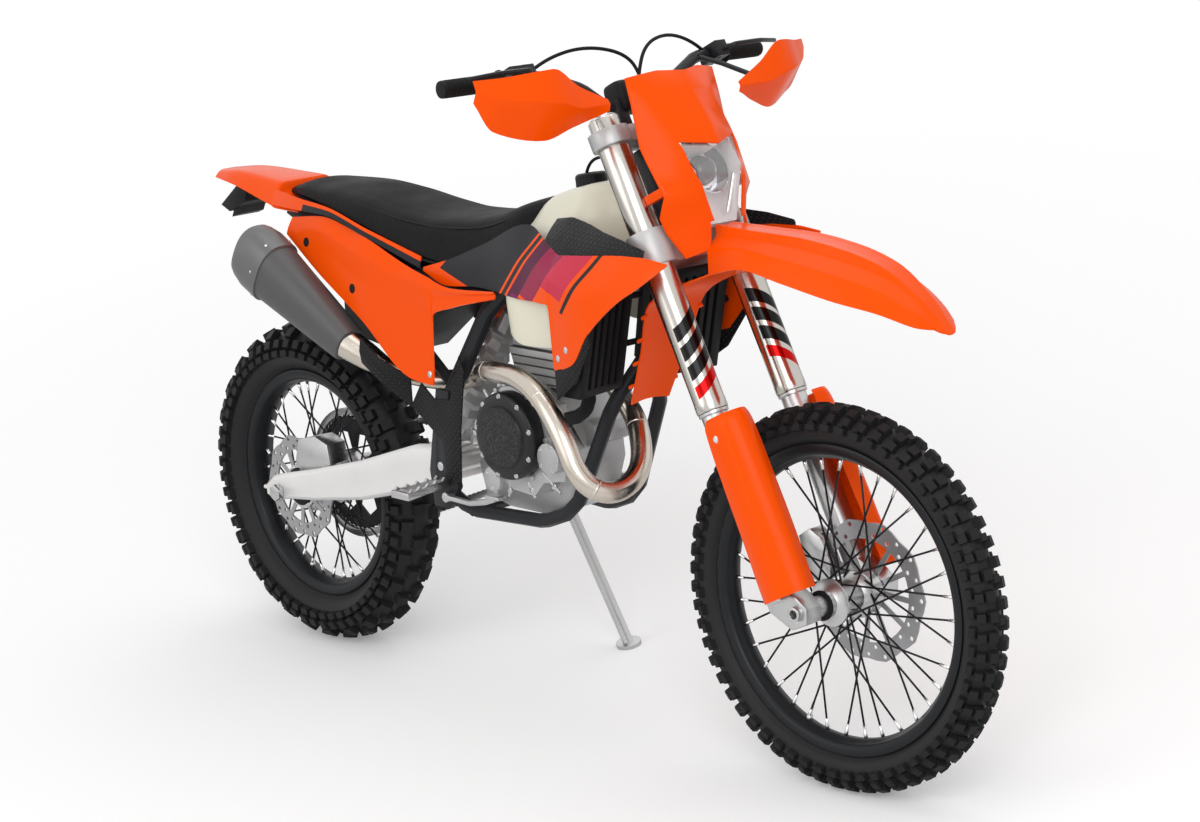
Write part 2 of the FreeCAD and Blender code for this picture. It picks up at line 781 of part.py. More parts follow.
# the right side cover: round at the clutch, drawn out ahead for the water pump and down for the filter
side_cover_shares = [(0.02, 0.62), (0, 0.42), (0.1, 0.16), (0.34, 0.02), (0.6, 0), (0.72, 0.14),
                     (0.98, 0.2),
                     (1, 0.46), (0.84, 0.6), (0.8, 0.84), (0.56, 1), (0.3, 0.98), (0.1, 0.84)]
side_cover_x = 666.0
side_cover_length = 236.0
side_cover_z = 452.0
side_cover_height = 208.0
pump_place = framed(0.5898, 0, 0.5978)
pump_radius = 30.0
pump_y = -134.0
filter_place = framed(0.4701, 0, 0.5233)
filter_radius = 24.0
filter_y = -124.0
cylinder_x = 705.0
cylinder_length = 165.0
cylinder_half = 61.5
cylinder_height = 145.0
barrel_share = 0.46
head_share = 0.84
cylinder_step = 6.0
cylinder_shares = [(0.1, 0), (1, 0), (1.04, 0.5), (1, 0.92), (0.9, 1), (0.12, 1), (0, 0.9), (-0.05, 0.5)]
ignition_place = framed(0.499, 0, 0.5778)
ignition_radius = 72.0
ignition_y = 100.0
starter_radius = 26.0
output_radius = 14.0
case_joint = 15.0
gear_shaft = framed(0.46, 0, 0.48)
gear_hub_y = 102.0
pedal_radius = 6.0
pedal_hub_radius = 10.0
cover_bolt_radius = 6.0
cover_bolt_height = 5.0
cover_bolts = 6
hose_radius = 13.0
spigot_length = 46.0
hose_route = [V(872, -98, 594), V(905, -112, 612), V(958, -116, 628), V(978, -112, 650)]


def engine_case():
    outline = spread(crank_shares, crank_x, crank_length, crank_z, crank_height)
    case = side_plate(outline, -crank_half, crank_half)
    cover = spread(side_cover_shares, side_cover_x, side_cover_length, side_cover_z, side_cover_height)
    right = side_plate(cover, side_cover_y, -crank_half)
    left = cross_bar(ignition_place.x, ignition_place.z, crank_half, crank_half + case_joint,
                     ignition_radius,
                     ring_sides)
    shaft = cross_bar(drive_place.x, drive_place.z, 0, chain_y - sprocket_thickness / 2 - seat_gap,
                      output_radius)
    starter = cross_bar(crank_x + crank_length, clutch_place.z, -crank_half / 2, crank_half, starter_radius)
    gear = cross_bar(gear_shaft.x, gear_shaft.z, 0, gear_hub_y - seat_gap, pedal_radius)
    pump = cross_bar(pump_place.x, pump_place.z, pump_y, side_cover_y, pump_radius, ring_sides)
    oil = cross_bar(filter_place.x, filter_place.z, filter_y, side_cover_y, filter_radius, ring_sides)
    way = (hose_route[1] - hose_route[0]).normalize()
    spigot = bar(hose_route[0] - way * spigot_length, hose_route[0], hose_radius - wall)
    bolts = []
    for i in range(cover_bolts):
        at = around(clutch_place, clutch_radius + cover_bolt_radius + seat_gap,
                    2 * math.pi * i / cover_bolts, 0)
        bolts.append(cross_bar(at.x, at.z, side_cover_y - cover_bolt_height, -crank_half, cover_bolt_radius,
                               window_sides + 1))
    return fused([case, right, left, shaft, starter, gear, pump, oil, spigot] + bolts)


def drive_sprocket():
    return sprocket(drive_place, drive_pitch_radius, drive_teeth, chain_y, output_radius / 2,
                    drive_pitch_radius - chain_half_height - seat_gap)


def cylinder():
    """Barrel, head and head cover, each a step narrower than the one below."""
    base = crank_z + crank_height + seat_gap
    levels = []
    for i, (low, high) in enumerate(((0, barrel_share), (barrel_share, head_share), (head_share, 1))):
        band = Part.makeBox(2 * cylinder_length, 2 * cylinder_half, (high - low) * cylinder_height,
                            V(cylinder_x - cylinder_length / 2, -cylinder_half,
                              base + low * cylinder_height))
        half = cylinder_half - i * cylinder_step
        outline = spread(cylinder_shares, cylinder_x + i * cylinder_step,
                         cylinder_length - 2 * i * cylinder_step,
                         base, cylinder_height)
        levels.append(side_plate(outline, -half, half).common(band))
    return fused(levels)


def round_cover(place, radius, y_near, y_far):
    """A turned cover with a bevelled rim and a raised middle."""
    depth = y_far - y_near
    bevel = math.copysign(hub_wall, depth)
    profile = [(0, 0), (radius, 0), (radius, depth - 2 * bevel), (radius - hub_wall, depth - bevel),
               (radius * crown_share, depth - bevel), (radius * crown_share - hub_wall, depth), (0, depth)]
    return lathe(profile, place + V(0, y_near, 0), 2 * ring_sides)


crown_share = 0.66


def clutch_cover():
    return round_cover(clutch_place, clutch_radius, side_cover_y - seat_gap, clutch_y)


def ignition_cover():
    near = crank_half + case_joint + seat_gap
    return round_cover(ignition_place, ignition_radius - hub_wall, near, ignition_y)


# Exhaust

header_radius = 20.0
port_overlap = 5.0
header_route = [V(cylinder_x + cylinder_length + port_overlap, 0, 700), V(945, -4, 650), V(1010, -20, 596),
                V(1068, -72, 528), V(1074, -150, 500), V(1040, -200, 530), V(1002, -200, 610),
                V(940, -190, 672),
                V(850, -168, 698), V(745, -142, 690), V(676, -104, 676), V(612, -59, 652), V(548, -62, 634),
                V(478, -78, 630), V(398, -126, 652)]
can_front = framed(0.2165, -1.53, 0.7711)
can_rear = framed(0.0457, -1.69, 0.9267)
link_end = can_front + (can_rear - can_front).normalize() * hub_wall
link_radius = 31.0
can_front_half_high = 37.0
can_rear_half_high = 70.0
can_front_half_wide = 33.0
can_rear_half_wide = 50.0
can_cap_length = 40.0
can_cap_share = 0.84
can_corner_share = 0.45
outlet_share = 0.42
weld_radius = header_radius + wall / 2
weld_shares = [0.32, 0.62]


def oval(centre, way, half_wide, half_high):
    ring = [(1, -can_corner_share), (1, can_corner_share), (can_corner_share, 1), (-can_corner_share, 1),
            (-1, can_corner_share), (-1, -can_corner_share), (-can_corner_share, -1),
            (can_corner_share, -1)]
    up = V(0, 1, 0).cross(way).normalize()
    return [centre + V(0, half_wide * a, 0) + up * (half_high * b) for a, b in ring]


def muffler():
    run = (can_rear - can_front).normalize()
    rear_cap = can_rear + run * can_cap_length
    can = loft([oval(can_front, run, can_front_half_wide, can_front_half_high),
                oval(can_rear, run, can_rear_half_wide, can_rear_half_high),
                oval(rear_cap, run, can_rear_half_wide * can_cap_share,
                     can_rear_half_high * can_cap_share)])
    bore = bar(can_rear, rear_cap + run * overrun, can_rear_half_wide * outlet_share)
    return can.cut(bore)


def exhaust_header():
    """The pipe round the engine, with a weld ring at two joints, and the cone that joins the silencer."""
    pipe = bent_tube(header_route, header_radius, 2 * overrun)
    link = cone(header_route[-1], link_end, header_radius, link_radius)
    rings = []
    for share in weld_shares:
        i = round(share * (len(header_route) - 1))
        way = (header_route[i + 1] - header_route[i]).normalize()
        middle = (header_route[i + 1] + header_route[i]) / 2
        rings.append(bar(middle - way * wall, middle + way * wall, weld_radius))
    return fused([pipe, link] + rings).cut(muffler()).cut(cylinder())


# Cooling

radiator_low_x = 1006.0
radiator_high_x = 1053.0
radiator_low_z = 676.0
radiator_high_z = 876.0
radiator_depth = 44.0
radiator_inner_y = 54.0
radiator_outer_y = 172.0
radiator_toe = 16.0
shroud_post_share = 0.62
louvre_count = 5
louvre_depth = 8.0
louvre_share = 0.45
louvre_margin = 14.0


def radiator_face(share, y):
    """A place on the front face of the left radiator."""
    x = radiator_low_x + (radiator_high_x - radiator_low_x) * share
    toe = radiator_toe * (y - radiator_inner_y) / (radiator_outer_y - radiator_inner_y)
    return V(x + toe, y, radiator_low_z + (radiator_high_z - radiator_low_z) * share)


def radiator():
    """The core with upright slots between the blades of its grille, and the post that carries the shroud."""
    back = V(-radiator_depth, 0, 0)
    levels = []
    for share in (0, 1):
        inner, outer = radiator_face(share, radiator_inner_y), radiator_face(share, radiator_outer_y)
        levels.append([inner, outer, outer + back, inner + back])
    slots = []
    pitch_y = (radiator_outer_y - radiator_inner_y - 2 * louvre_margin) / louvre_count
    margin = louvre_margin / (radiator_high_z - radiator_low_z)
    for i in range(louvre_count):
        low_y = radiator_inner_y + louvre_margin + pitch_y * (i + (1 - louvre_share) / 2)
        ends = []
        for share in (margin, 1 - margin):
            one, two = radiator_face(share, low_y), radiator_face(share, low_y + pitch_y * louvre_share)
            deep, proud = V(-louvre_depth, 0, 0), V(louvre_depth, 0, 0)
            ends.append([one + deep, two + deep, two + proud, one + proud])
        slots.append(loft(ends))
    spot = radiator_face(shroud_post_share, radiator_outer_y) + back / 2
    post = bar(spot - V(0, wall, 0), spot + V(0, overrun, 0), post_radius)
    return fused([trimmed(loft(levels), slots), up_to(post, mirrored(shroud()), V(0, 1, 0))])


def coolant_hose():
    way = (hose_route[1] - hose_route[0]).normalize()
    top = V(hose_route[-1].x, hose_route[-1].y, radiator_low_z - seat_gap)
    return bent_tube([hose_route[0] + way * seat_gap] + hose_route[1:] + [top], hose_radius, overrun)


# Tank and seat

tank_rear_x = 780.0
tank_length = 264.0
tank_half_width = 160.0
tank_low_z = 750.0
tank_height = 296.0
# along the tank: top, shoulder, belt and lower edge, each as half width and height
tank_shares = [
    (0, [(0.2375, 0.7635), (0.5375, 0.6351), (0.5625, 0.473), (0.5375, 0.3919)]),
    (0.0379, [(0.275, 0.7905), (0.5625, 0.6486), (0.8625, 0.3378), (0.8125, 0.0811)]),
    (0.25, [(0.3625, 0.9054), (0.625, 0.6892), (0.975, 0.3243), (0.9125, 0.0068)]),
    (0.5606, [(0.4, 0.9831), (0.6625, 0.75), (0.9938, 0.3446), (0.925, 0.027)]),
    (0.6288, [(0.3875, 0.9966), (0.65, 0.7635), (0.675, 0.5743), (0.6, 0.4932)]),
    (0.8258, [(0.2875, 1), (0.3375, 0.7939), (0.375, 0.6081), (0.35, 0.5135)]),
    (1, [(0.225, 0.9595), (0.2875, 0.7973), (0.3125, 0.6757), (0.2875, 0.6149)])]
tunnel_half = 92.0
tunnel_rear_share = 0.534
tunnel_front_share = 0.845
cap_share = 0.6
cap_radius = 30.0
cap_height = 24.0
cap_sides = 18


def tank_stations():
    return laid_out(tank_shares, tank_rear_x, tank_length, tank_half_width, tank_low_z, tank_height)


def tank():
    """A saddle tank: its lobes hang beside the spars, and its front narrows to the steering head."""
    sections = []
    for x, line in tank_stations():
        sections.append([V(x, -y, z) for y, z in line] + [V(x, y, z) for y, z in reversed(line)])
    rear_z = tank_low_z + tank_height * tunnel_rear_share
    front_z = tank_low_z + tank_height * tunnel_front_share
    rear_x, front_x = tank_rear_x - overrun, tank_rear_x + tank_length
    tunnel = side_plate([(rear_x, 0), (front_x + overrun, 0), (front_x + overrun, front_z),
                         (front_x, front_z),
                         (tank_rear_x + overrun, rear_z), (rear_x, rear_z)], -tunnel_half, tunnel_half)
    return trimmed(loft(sections), [tunnel, seat_body()])


def fuel_cap():
    """A ribbed cap standing square on the slope of the tank's top."""
    stations = tank_stations()
    (low_x, low_line), (high_x, high_line) = stations[2], stations[3]
    low, high = V(low_x, 0, low_line[0][1]), V(high_x, 0, high_line[0][1])
    spot = low + (high - low) * cap_share
    up = V(low.z - high.z, 0, high.x - low.x).normalize()
    return bar(spot + up * seat_gap, spot + up * cap_height, cap_radius, cap_sides)


seat_rear_x = 18.0
seat_length = 818.0
seat_half_width = 114.0
seat_low_z = 874.0
seat_height = 140.0
# along the seat: crown, edge of the crown and lower edge, each as half width and height
seat_shares = [
    (0, [(0.2281, 0.6857), (0.3509, 0.6571), (0.3684, 0.6)]),
    (0.1015, [(0.3509, 0.8143), (0.614, 0.7571), (0.6491, 0.6286)]),
    (0.2225, [(0.4912, 0.8143), (0.7544, 0.7429), (0.807, 0.5571)]),
    (0.357, [(0.5439, 0.75), (0.8596, 0.6571), (0.9298, 0.4143)]),
    (0.4914, [(0.5965, 0.6643), (0.8947, 0.5786), (0.9825, 0.2286)]),
    (0.6137, [(0.614, 0.6357), (0.8947, 0.5429), (1, 0.0714)]),
    (0.7115, [(0.614, 0.6714), (0.8596, 0.5571), (0.9825, 0.0143)]),
    (0.8215, [(0.5965, 0.7571), (0.8246, 0.6143), (0.9474, 0.2429)]),
    (0.9193, [(0.5439, 0.8714), (0.7544, 0.7286), (0.8596, 0.5)]),
    (1, [(0.3509, 1), (0.4912, 0.9), (0.5263, 0.7857)])]
seat_pad_share = 0.604
seat_pad_height = 58.0
seat_pad_radius = 12.0


def seat_body():
    stations = laid_out(seat_shares, seat_rear_x, seat_length, seat_half_width, seat_low_z, seat_height)
    sections = []
    for x, line in stations:
        sections.append([V(x, -y, z) for y, z in line] + [V(x, y, z) for y, z in reversed(line)])
    pads = []
    for side in (-1, 1):
        spot = across(on_rail(seat_pad_share), side)
        rail = bar(across(rail_front, side), across(rail_rear, side), subframe_tube + seat_gap)
        pad = bar(spot, spot + V(0, 0, seat_pad_height), seat_pad_radius).cut(rail)
        pads.append(max(pad.Solids, key=lambda piece: piece.CenterOfMass.z))
    return fused([loft(sections)] + pads)


# Bodywork

def skin(stations, thickness=wall):
    """A curved wall for the right side: at each x, places (y, z) down its outer face."""
    sections = []
    for x, line in stations:
        sections.append([V(x, -y, z) for y, z in line] + [V(x, thickness - y, z) for y,
                                                          z in reversed(line)])
    return loft(sections)


def up_to(post, skins, way):
    """The near piece of a post, short of the skin that it carries."""
    near = skins.copy()
    near.translate(way * -seat_gap)
    return min(post.cut(near).Solids, key=lambda piece: piece.CenterOfMass.dot(way))


shroud_rear_x = 530.0
shroud_length = 757.0
shroud_half_width = 208.0
shroud_low_z = 728.0
shroud_height = 245.0
# along the shroud: upper edge, crease and lower edge, with the leg over the radiator's side
shroud_shares = [
    (0, [(0.5721, 0.5551), (0.5769, 0.5429), (0.5817, 0.5265)]),
    (0.0925, [(0.5481, 0.6367), (0.5865, 0.5633), (0.601, 0.4408)]),
    (0.2325, [(0.5385, 0.7959), (0.6154, 0.6612), (0.6346, 0.4735)]),
    (0.4174, [(0.5673, 1), (0.7115, 0.751), (0.7692, 0.4653)]),
    (0.5086, [(0.6827, 0.9184), (0.8077, 0.7224), (0.8558, 0.4816)]),
    (0.5746, [(0.7596, 0.849), (0.8846, 0.702), (0.9038, 0.4857)]),
    (0.5878, [(0.7788, 0.8449), (0.899, 0.702), (0.9038, 0)]),
    (0.6671, [(0.8365, 0.8694), (0.9712, 0.6612), (0.9615, 0.0735)]),
    (0.7398, [(0.8654, 0.8939), (1, 0.6612), (0.9904, 0.3347)]),
    (0.8441, [(0.9038, 0.9265), (0.9856, 0.7592), (0.9952, 0.5918)]),
    (0.9207, [(0.9135, 0.9347), (0.9615, 0.8408), (0.9808, 0.7306)]),
    (1, [(0.9135, 0.9143), (0.9183, 0.9061), (0.9183, 0.898)])]
# the black caps over the upper edge, and the guards under the leg: first and last station, then the far edge
cap_span = (4, 11)
cap_shares = [
    (0.5086, [(0.5192, 1.0612), (0.6058, 0.9959)]),
    (0.5746, [(0.5673, 1.0939), (0.6827, 0.9714)]),
    (0.5878, [(0.5769, 1.0939), (0.6971, 0.9673)]),
    (0.6671, [(0.6538, 1.0735), (0.7692, 0.9714)]),
    (0.7398, [(0.75, 1.049), (0.8269, 0.9714)]),
    (0.8441, [(0.851, 1.0204), (0.8846, 0.9755)]),
    (0.9207, [(0.8942, 0.9796), (0.9087, 0.9592)])]
guard_span = (6, 9)
guard_shares = [
    (0.5878, [(0.8942, -0.2286)]),
    (0.6671, [(0.9231, -0.0653)]),
    (0.7398, [(0.9712, 0.2612)])]


def shroud_places(shares):
    return laid_out(shares, shroud_rear_x, shroud_length, shroud_half_width, shroud_low_z, shroud_height)


def shroud():
    return skin(shroud_places(shroud_shares))


def shroud_trim():
    """The wedge over the shroud's upper edge and the guard below its leg, edge to edge with it."""
    stations = shroud_places(shroud_shares)
    caps = []
    for (x, line), (_, edge) in zip(shroud_places(cap_shares), stations[cap_span[0]:cap_span[1]]):
        caps.append((x, line + [(edge[0][0], edge[0][1] + seat_gap)]))
    guards = []
    for (x, line), (_, edge) in zip(shroud_places(guard_shares), stations[guard_span[0]:guard_span[1]]):
        guards.append((x, [(edge[2][0], edge[2][1] - seat_gap)] + line))
    return [skin(caps), skin(guards)]


panel_rear_x = 94.0
panel_length = 678.0
panel_half_width = 151.0
panel_low_z = 643.0
panel_height = 290.0
panel_shares = [
    (0, [(0.6623, 0.9621), (0.7417, 0.9069), (0.7815, 0.8517)]),
    (0.1711, [(0.7152, 1), (0.8344, 0.8517), (0.8675, 0.6172)]),
    (0.3038, [(0.755, 0.9483), (0.8874, 0.7483), (0.9139, 0.4517)]),
    (0.3909, [(0.8079, 0.9069), (0.9205, 0.7), (0.947, 0.3414)]),
    (0.5723, [(0.8609, 0.7759), (0.9536, 0.631), (0.9801, 0.0414)]),
    (0.6298, [(0.9007, 0.7483), (0.9669, 0.631), (0.9934, 0.0103)]),
    (0.708, [(0.9404, 0.7138), (0.9868, 0.6172), (1, 0)]),
    (0.7227, [(0.947, 0.7034), (0.9868, 0.6276), (0.9934, 0.469)]),
    (0.8053, [(0.9735, 0.6724), (0.9934, 0.6379), (0.9934, 0.5414)]),
    (1, [(0.9934, 0.6966), (1, 0.6759), (1, 0.6517)])]
panel_hole_shares = [(0.0959, 0.7586), (0.3363, 0.5345)]
panel_hole_radius = 9.0


def side_panel():
    panel = skin(laid_out(panel_shares, panel_rear_x, panel_length, panel_half_width, panel_low_z,
                          panel_height))
    holes = [cross_bar(x, z, -2 * panel_half_width, 0, panel_hole_radius)
             for x, z in spread(panel_hole_shares, panel_rear_x, panel_length, panel_low_z, panel_height)]
    return trimmed(panel, holes)


fender_rear_x = -252.0
fender_length = 352.0
fender_half_width = 92.0
fender_low_z = 932.0
fender_height = 58.0
# along the rear fender: crown and side edge, each as half width and height
fender_shares = [
    (0, [(0.2826, 0.8966), (0.4348, 0.6552)]),
    (0.2216, [(0.4565, 1), (0.6522, 0.5862)]),
    (0.6023, [(0.6087, 0.8966), (0.8696, 0.2069)]),
    (0.7386, [(0.6739, 0.8276), (0.9565, 0.069)]),
    (0.7585, [(0.6957, 0.4483), (0.9674, 0.0345)]),
    (1, [(0.7609, 0.2414), (1, 0)])]
wing_rear_x = 0.0
wing_length = 524.0
wing_half_width = 124.0
wing_low_z = 862.0
wing_height = 106.0
wing_shares = [
    (0, [(0.5645, 1), (0.6935, 0.717)]),
    (0.2099, [(0.7419, 0.9245), (0.8226, 0.717)]),
    (0.4008, [(0.8306, 0.8585), (0.8952, 0.7075)]),
    (0.6851, [(0.9274, 0.5566), (0.9839, 0.4151)]),
    (1, [(0.9597, 0.2075), (1, 0)])]


def arched(stations, thickness):
    """An arched wall: at each x, half widths and heights of the crown and of the side edge."""
    sections = []
    for x, ((top_half, top), (side_half, side_z)) in stations:
        outer = [(-side_half, side_z), (-top_half, top), (top_half, top), (side_half, side_z)]
        inner = [(side_half - thickness, side_z), (top_half - thickness, top - thickness),
                 (thickness - top_half, top - thickness), (thickness - side_half, side_z)]
        sections.append([V(x, y, z) for y, z in outer + inner])
    return loft(sections)


def rear_fender():
    """The arch over the wheel, with a wing on each side that runs forward below the seat."""
    arch = arched(laid_out(fender_shares, fender_rear_x, fender_length, fender_half_width, fender_low_z,
                           fender_height), wall)
    wing = skin(laid_out(wing_shares, wing_rear_x, wing_length, wing_half_width, wing_low_z, wing_height))
    return fused([arch, wing, mirrored(wing)])


lamp_shares = [(0, 0.2), (0.7, 1), (1, 0.9), (0.9, 0.4), (0.3, 0)]
lamp_x = -236.0
lamp_length = 96.0
lamp_z = 900.0
lamp_height = 62.0
lamp_half = 42.0
holder_shares = [(0, 0), (0.12, 0), (1, 1), (0.8, 1)]
holder_x = -262.0
holder_length = 92.0
holder_z = 790.0
holder_half = 34.0
holder_hole_y = 25.0
holder_hole_radius = 3.0
holder_hole_share = 0.4


def plate_holder():
    """The sloping bracket below the lamp, with two holes for a plate."""
    outline = spread(holder_shares, holder_x, holder_length, holder_z, lamp_z + lamp_height / 2 - holder_z)
    bracket = side_plate(outline, -holder_half, holder_half)
    run = V(outline[3][0] - outline[0][0], 0, outline[3][1] - outline[0][1])
    normal = V(run.z, 0, -run.x).normalize()
    holes = []
    for side in (-1, 1):
        at = V(outline[0][0], side * holder_hole_y, outline[0][1]) + run * holder_hole_share
        holes.append(rod(at - normal * overrun, at + normal * overrun, holder_hole_radius))
    return trimmed(bracket, holes)


def tail_lamp():
    body = side_plate(spread(lamp_shares, lamp_x, lamp_length, lamp_z, lamp_height), -lamp_half, lamp_half)
    neck_x = lamp_x + lamp_length / 2
    neck = Part.makeBox(lamp_length / 3, lamp_half, overrun + lamp_height,
                        V(neck_x, -lamp_half / 2, lamp_z))
    upper = lamp_z + lamp_height / 2
    neck = neck.common(Part.makeBox(lamp_length, lamp_half, 2 * overrun, V(lamp_x, -lamp_half / 2, upper)))
    return fused([body, plate_holder(), up_to(neck, rear_fender(), V(0, 0, 1))])


# Guards, pegs, pedals and brake

guard_plate_shares = [(0.62, 0), (0.84, 0.05), (0.88, 0.42), (1, 0.9), (0.93, 1), (0.75, 0.66), (0.5, 0.64),
                      (0.3, 0.745), (0.12, 0.56), (0.4, 0.42), (0.6, 0.33)]
guard_x = 450.0
guard_length = 190.0
guard_z = 440.0
guard_height = 262.0
arm_guard_x = 372.0
arm_guard_length = 102.0
arm_guard_y = 170.0
arm_guard_z = 582.0
arm_guard_height = 138.0
arm_guard_shares = [
    (0, [(0.9647, 0.971), (0.9882, 0.7826), (0.9647, 0.6087)]),
    (0.4706, [(0.9294, 0.6957), (0.9471, 0.5362), (0.9176, 0.3478)]),
    (1, [(0.7488, 0.442), (0.7488, 0.2319), (0.7488, 0)])]


def frame_guard():
    y = -plate_inner_y - plate_thickness - seat_gap
    return side_plate(spread(guard_plate_shares, guard_x, guard_length, guard_z, guard_height), y - wall, y)


def right_guard():
    """The right guard has an arm that bulges round the exhaust pipe."""
    arm = skin(laid_out(arm_guard_shares, arm_guard_x, arm_guard_length, arm_guard_y, arm_guard_z,
                        arm_guard_height))
    return fused([frame_guard(), arm])


peg_ahead = 3.0
peg_x = pivot.x + peg_ahead
peg_z = pivot.z - 34
peg_inner_y = plate_inner_y + plate_thickness + wall + 2 * seat_gap
peg_outer_y = 250.0
peg_half = 26.0
peg_thickness = 14.0
peg_teeth = 5
peg_tooth = 6.0
peg_pocket_share = 0.3


def footpeg():
    """A tapered peg, open inside, with a row of teeth along its front and rear edges."""
    outer = [V(peg_x, -peg_inner_y, peg_z), V(peg_x + peg_half, -peg_inner_y, peg_z),
             V(peg_x + 2 * peg_half, -peg_outer_y, peg_z), V(peg_x, -peg_outer_y, peg_z)]
    body = prism(outer, V(0, 0, peg_thickness))
    middle = sum(outer, V()) / 4
    pocket = [middle + (corner - middle) * (1 - peg_pocket_share) for corner in outer]
    hole = prism([p - V(0, 0, peg_tooth) for p in pocket], V(0, 0, peg_thickness + 2 * peg_tooth))
    teeth = []
    for i in range(peg_teeth):
        share = (i + 1 / 2) / peg_teeth
        for one, two in ((outer[0], outer[3]), (outer[1], outer[2])):
            at = one + (two - one) * share + V(0, 0, peg_thickness)
            inward = math.copysign(peg_tooth, middle.x - at.x)
            teeth.append(prism([at - V(0, peg_tooth, 0), at + V(0, peg_tooth, 0), at + V(0, 0, peg_tooth)],
                               V(inward, 0, 0)))
    return fused([body.cut(hole)] + teeth)


pedal_room = 8.0
pedal_back_y = -peg_inner_y - pedal_room
pedal_route = [V(575, pedal_back_y, 420), V(660, -150, 424), V(720, -162, 438), V(760, -168, 452)]
gear_route = [V(gear_shaft.x, 114, gear_shaft.z), V(735, 118, 440), V(790, 122, 442), V(812, 150, 440)]
pad_half = 20.0


def brake_pedal():
    start, end = pedal_route[0], pedal_route[-1]
    hub_end = V(start.x, -plate_inner_y - plate_thickness - seat_gap, start.z)
    pad = Part.makeBox(2 * pad_half, pad_half, pedal_radius, end - V(pad_half, pad_half / 2, 0))
    return fused([bent_tube(pedal_route, pedal_radius, overrun), pad,
                  bar(start - V(0, pedal_radius, 0), hub_end, pedal_hub_radius)])


def gear_lever():
    start = gear_route[0]
    hub_end = V(start.x, gear_hub_y, start.z)
    return fused([bent_tube(gear_route, pedal_radius, overrun),
                  bar(hub_end, start + V(0, pedal_radius, 0), pedal_hub_radius)])


caliper_shares = [(0, 0.3), (0.16, 0), (0.8, 0.04), (1, 0.4), (0.94, 0.86), (0.6, 1), (0.12, 0.84)]
caliper_x = 32.0
caliper_length = 118.0
caliper_z = 379.0
caliper_height = 88.0
disc_room = 5.0
pad_depth = 12.0


def brake_slot(centre, radius, y_low):
    return cross_bar(centre.x, centre.z, y_low - disc_room, y_low + disc_thickness + disc_room,
                     radius + disc_room,
                     2 * ring_sides)


def rear_caliper():
    y_out = seat_gap - arm_inner_y
    y_in = rear_disc_y + disc_room + pad_depth
    block = side_plate(spread(caliper_shares, caliper_x, caliper_length, caliper_z, caliper_height),
                       y_out, y_in)
    return block.cut(brake_slot(rear_axle, rear_disc_radius, rear_disc_y - disc_thickness))


def pivot_bolt():
    reach = plate_inner_y + plate_thickness
    return cross_bar(pivot.x, pivot.z, -reach, reach, pivot_radius, hub_sides)


# Side stand, drawn standing on the floor

stand_pivot = framed(0.3867, 1.4, 0.4533)
stand_fold = framed(-0.2488, 0.16, 0.0933)
stand_radius = 11.0
stand_foot_radius = 26.0
stand_foot_thickness = 8.0
stand_pin_radius = 6.0
stand_eye_half = 11.0
stand_root = 22.0
stand_eye_radius = 17.6
stand_foot_ahead = 80.0
stand_foot_out = 100.0
stand_foot = on_floor(stand_pivot.x + stand_foot_ahead, stand_pivot.y + stand_foot_out)
stand_axis = (stand_foot - stand_pivot).cross(stand_fold).normalize()


def side_stand():
    pad = bar(stand_foot, stand_foot + floor_up * stand_foot_thickness, stand_foot_radius, ring_sides)
    leg = bar(stand_foot + floor_up * (stand_foot_thickness / 2), stand_pivot, stand_radius)
    half = stand_axis * stand_eye_half
    eye = bar(stand_pivot - half, stand_pivot + half, stand_eye_radius, ring_sides)
    hole = rod(stand_pivot - half * 3, stand_pivot + half * 3, stand_pin_radius + pin_gap)
    return fused([pad, leg, eye]).cut(hole)


# Steering: clamps and fork legs

outer_radius = 29.0
inner_radius = 24.0
outer_low_t = 382.0
outer_high_t = 936.0
clamp_wall = 9.0
clamp_half_deep = 26.0
cap_step = 7.0
lug_depth_back = 24.0


def fork_slab(outline, y_low, y_high):
    """A block whose outline is given beside the fork legs."""
    return prism([fork(n, y_low, t) for n, t in outline], V(0, y_high - y_low, 0))


def leg_bar(side, t_low, t_high, radius):
    return bar(fork(0, side * fork_half_width, t_low), fork(0, side * fork_half_width, t_high), radius,
               ring_sides)


def clamp(t_low, height):
    back = head_axis_n - stem_radius - clamp_wall
    reach = fork_half_width - inner_radius
    parts = [fork_slab([(back, t_low), (clamp_half_deep, t_low), (clamp_half_deep, t_low + height),
                        (back, t_low + height)], -reach, reach)]
    return fused(parts + [leg_bar(side, t_low, t_low + height,
                                  outer_radius + clamp_wall) for side in (-1, 1)])


def triple_clamps():
    low = clamp(lower_clamp_t, lower_clamp_height)
    high = clamp(upper_clamp_t, upper_clamp_height)
    stem = rod(head_point(lower_clamp_t), head_point(upper_clamp_t + upper_clamp_height), stem_radius)
    nut = bar(head_point(upper_clamp_t), head_point(upper_clamp_t + upper_clamp_height + cap_step),
              stem_radius + hub_wall, window_sides + 1)
    bores = [leg_bar(s, lower_clamp_t - overrun, outer_high_t, outer_radius + pin_gap) for s in (-1, 1)]
    return trimmed(fused([low, high, stem, nut]), bores)


def fork_outer():
    return fused([leg_bar(-1, outer_low_t, outer_high_t, outer_radius),
                  leg_bar(-1, outer_high_t, outer_high_t + cap_step, inner_radius)])


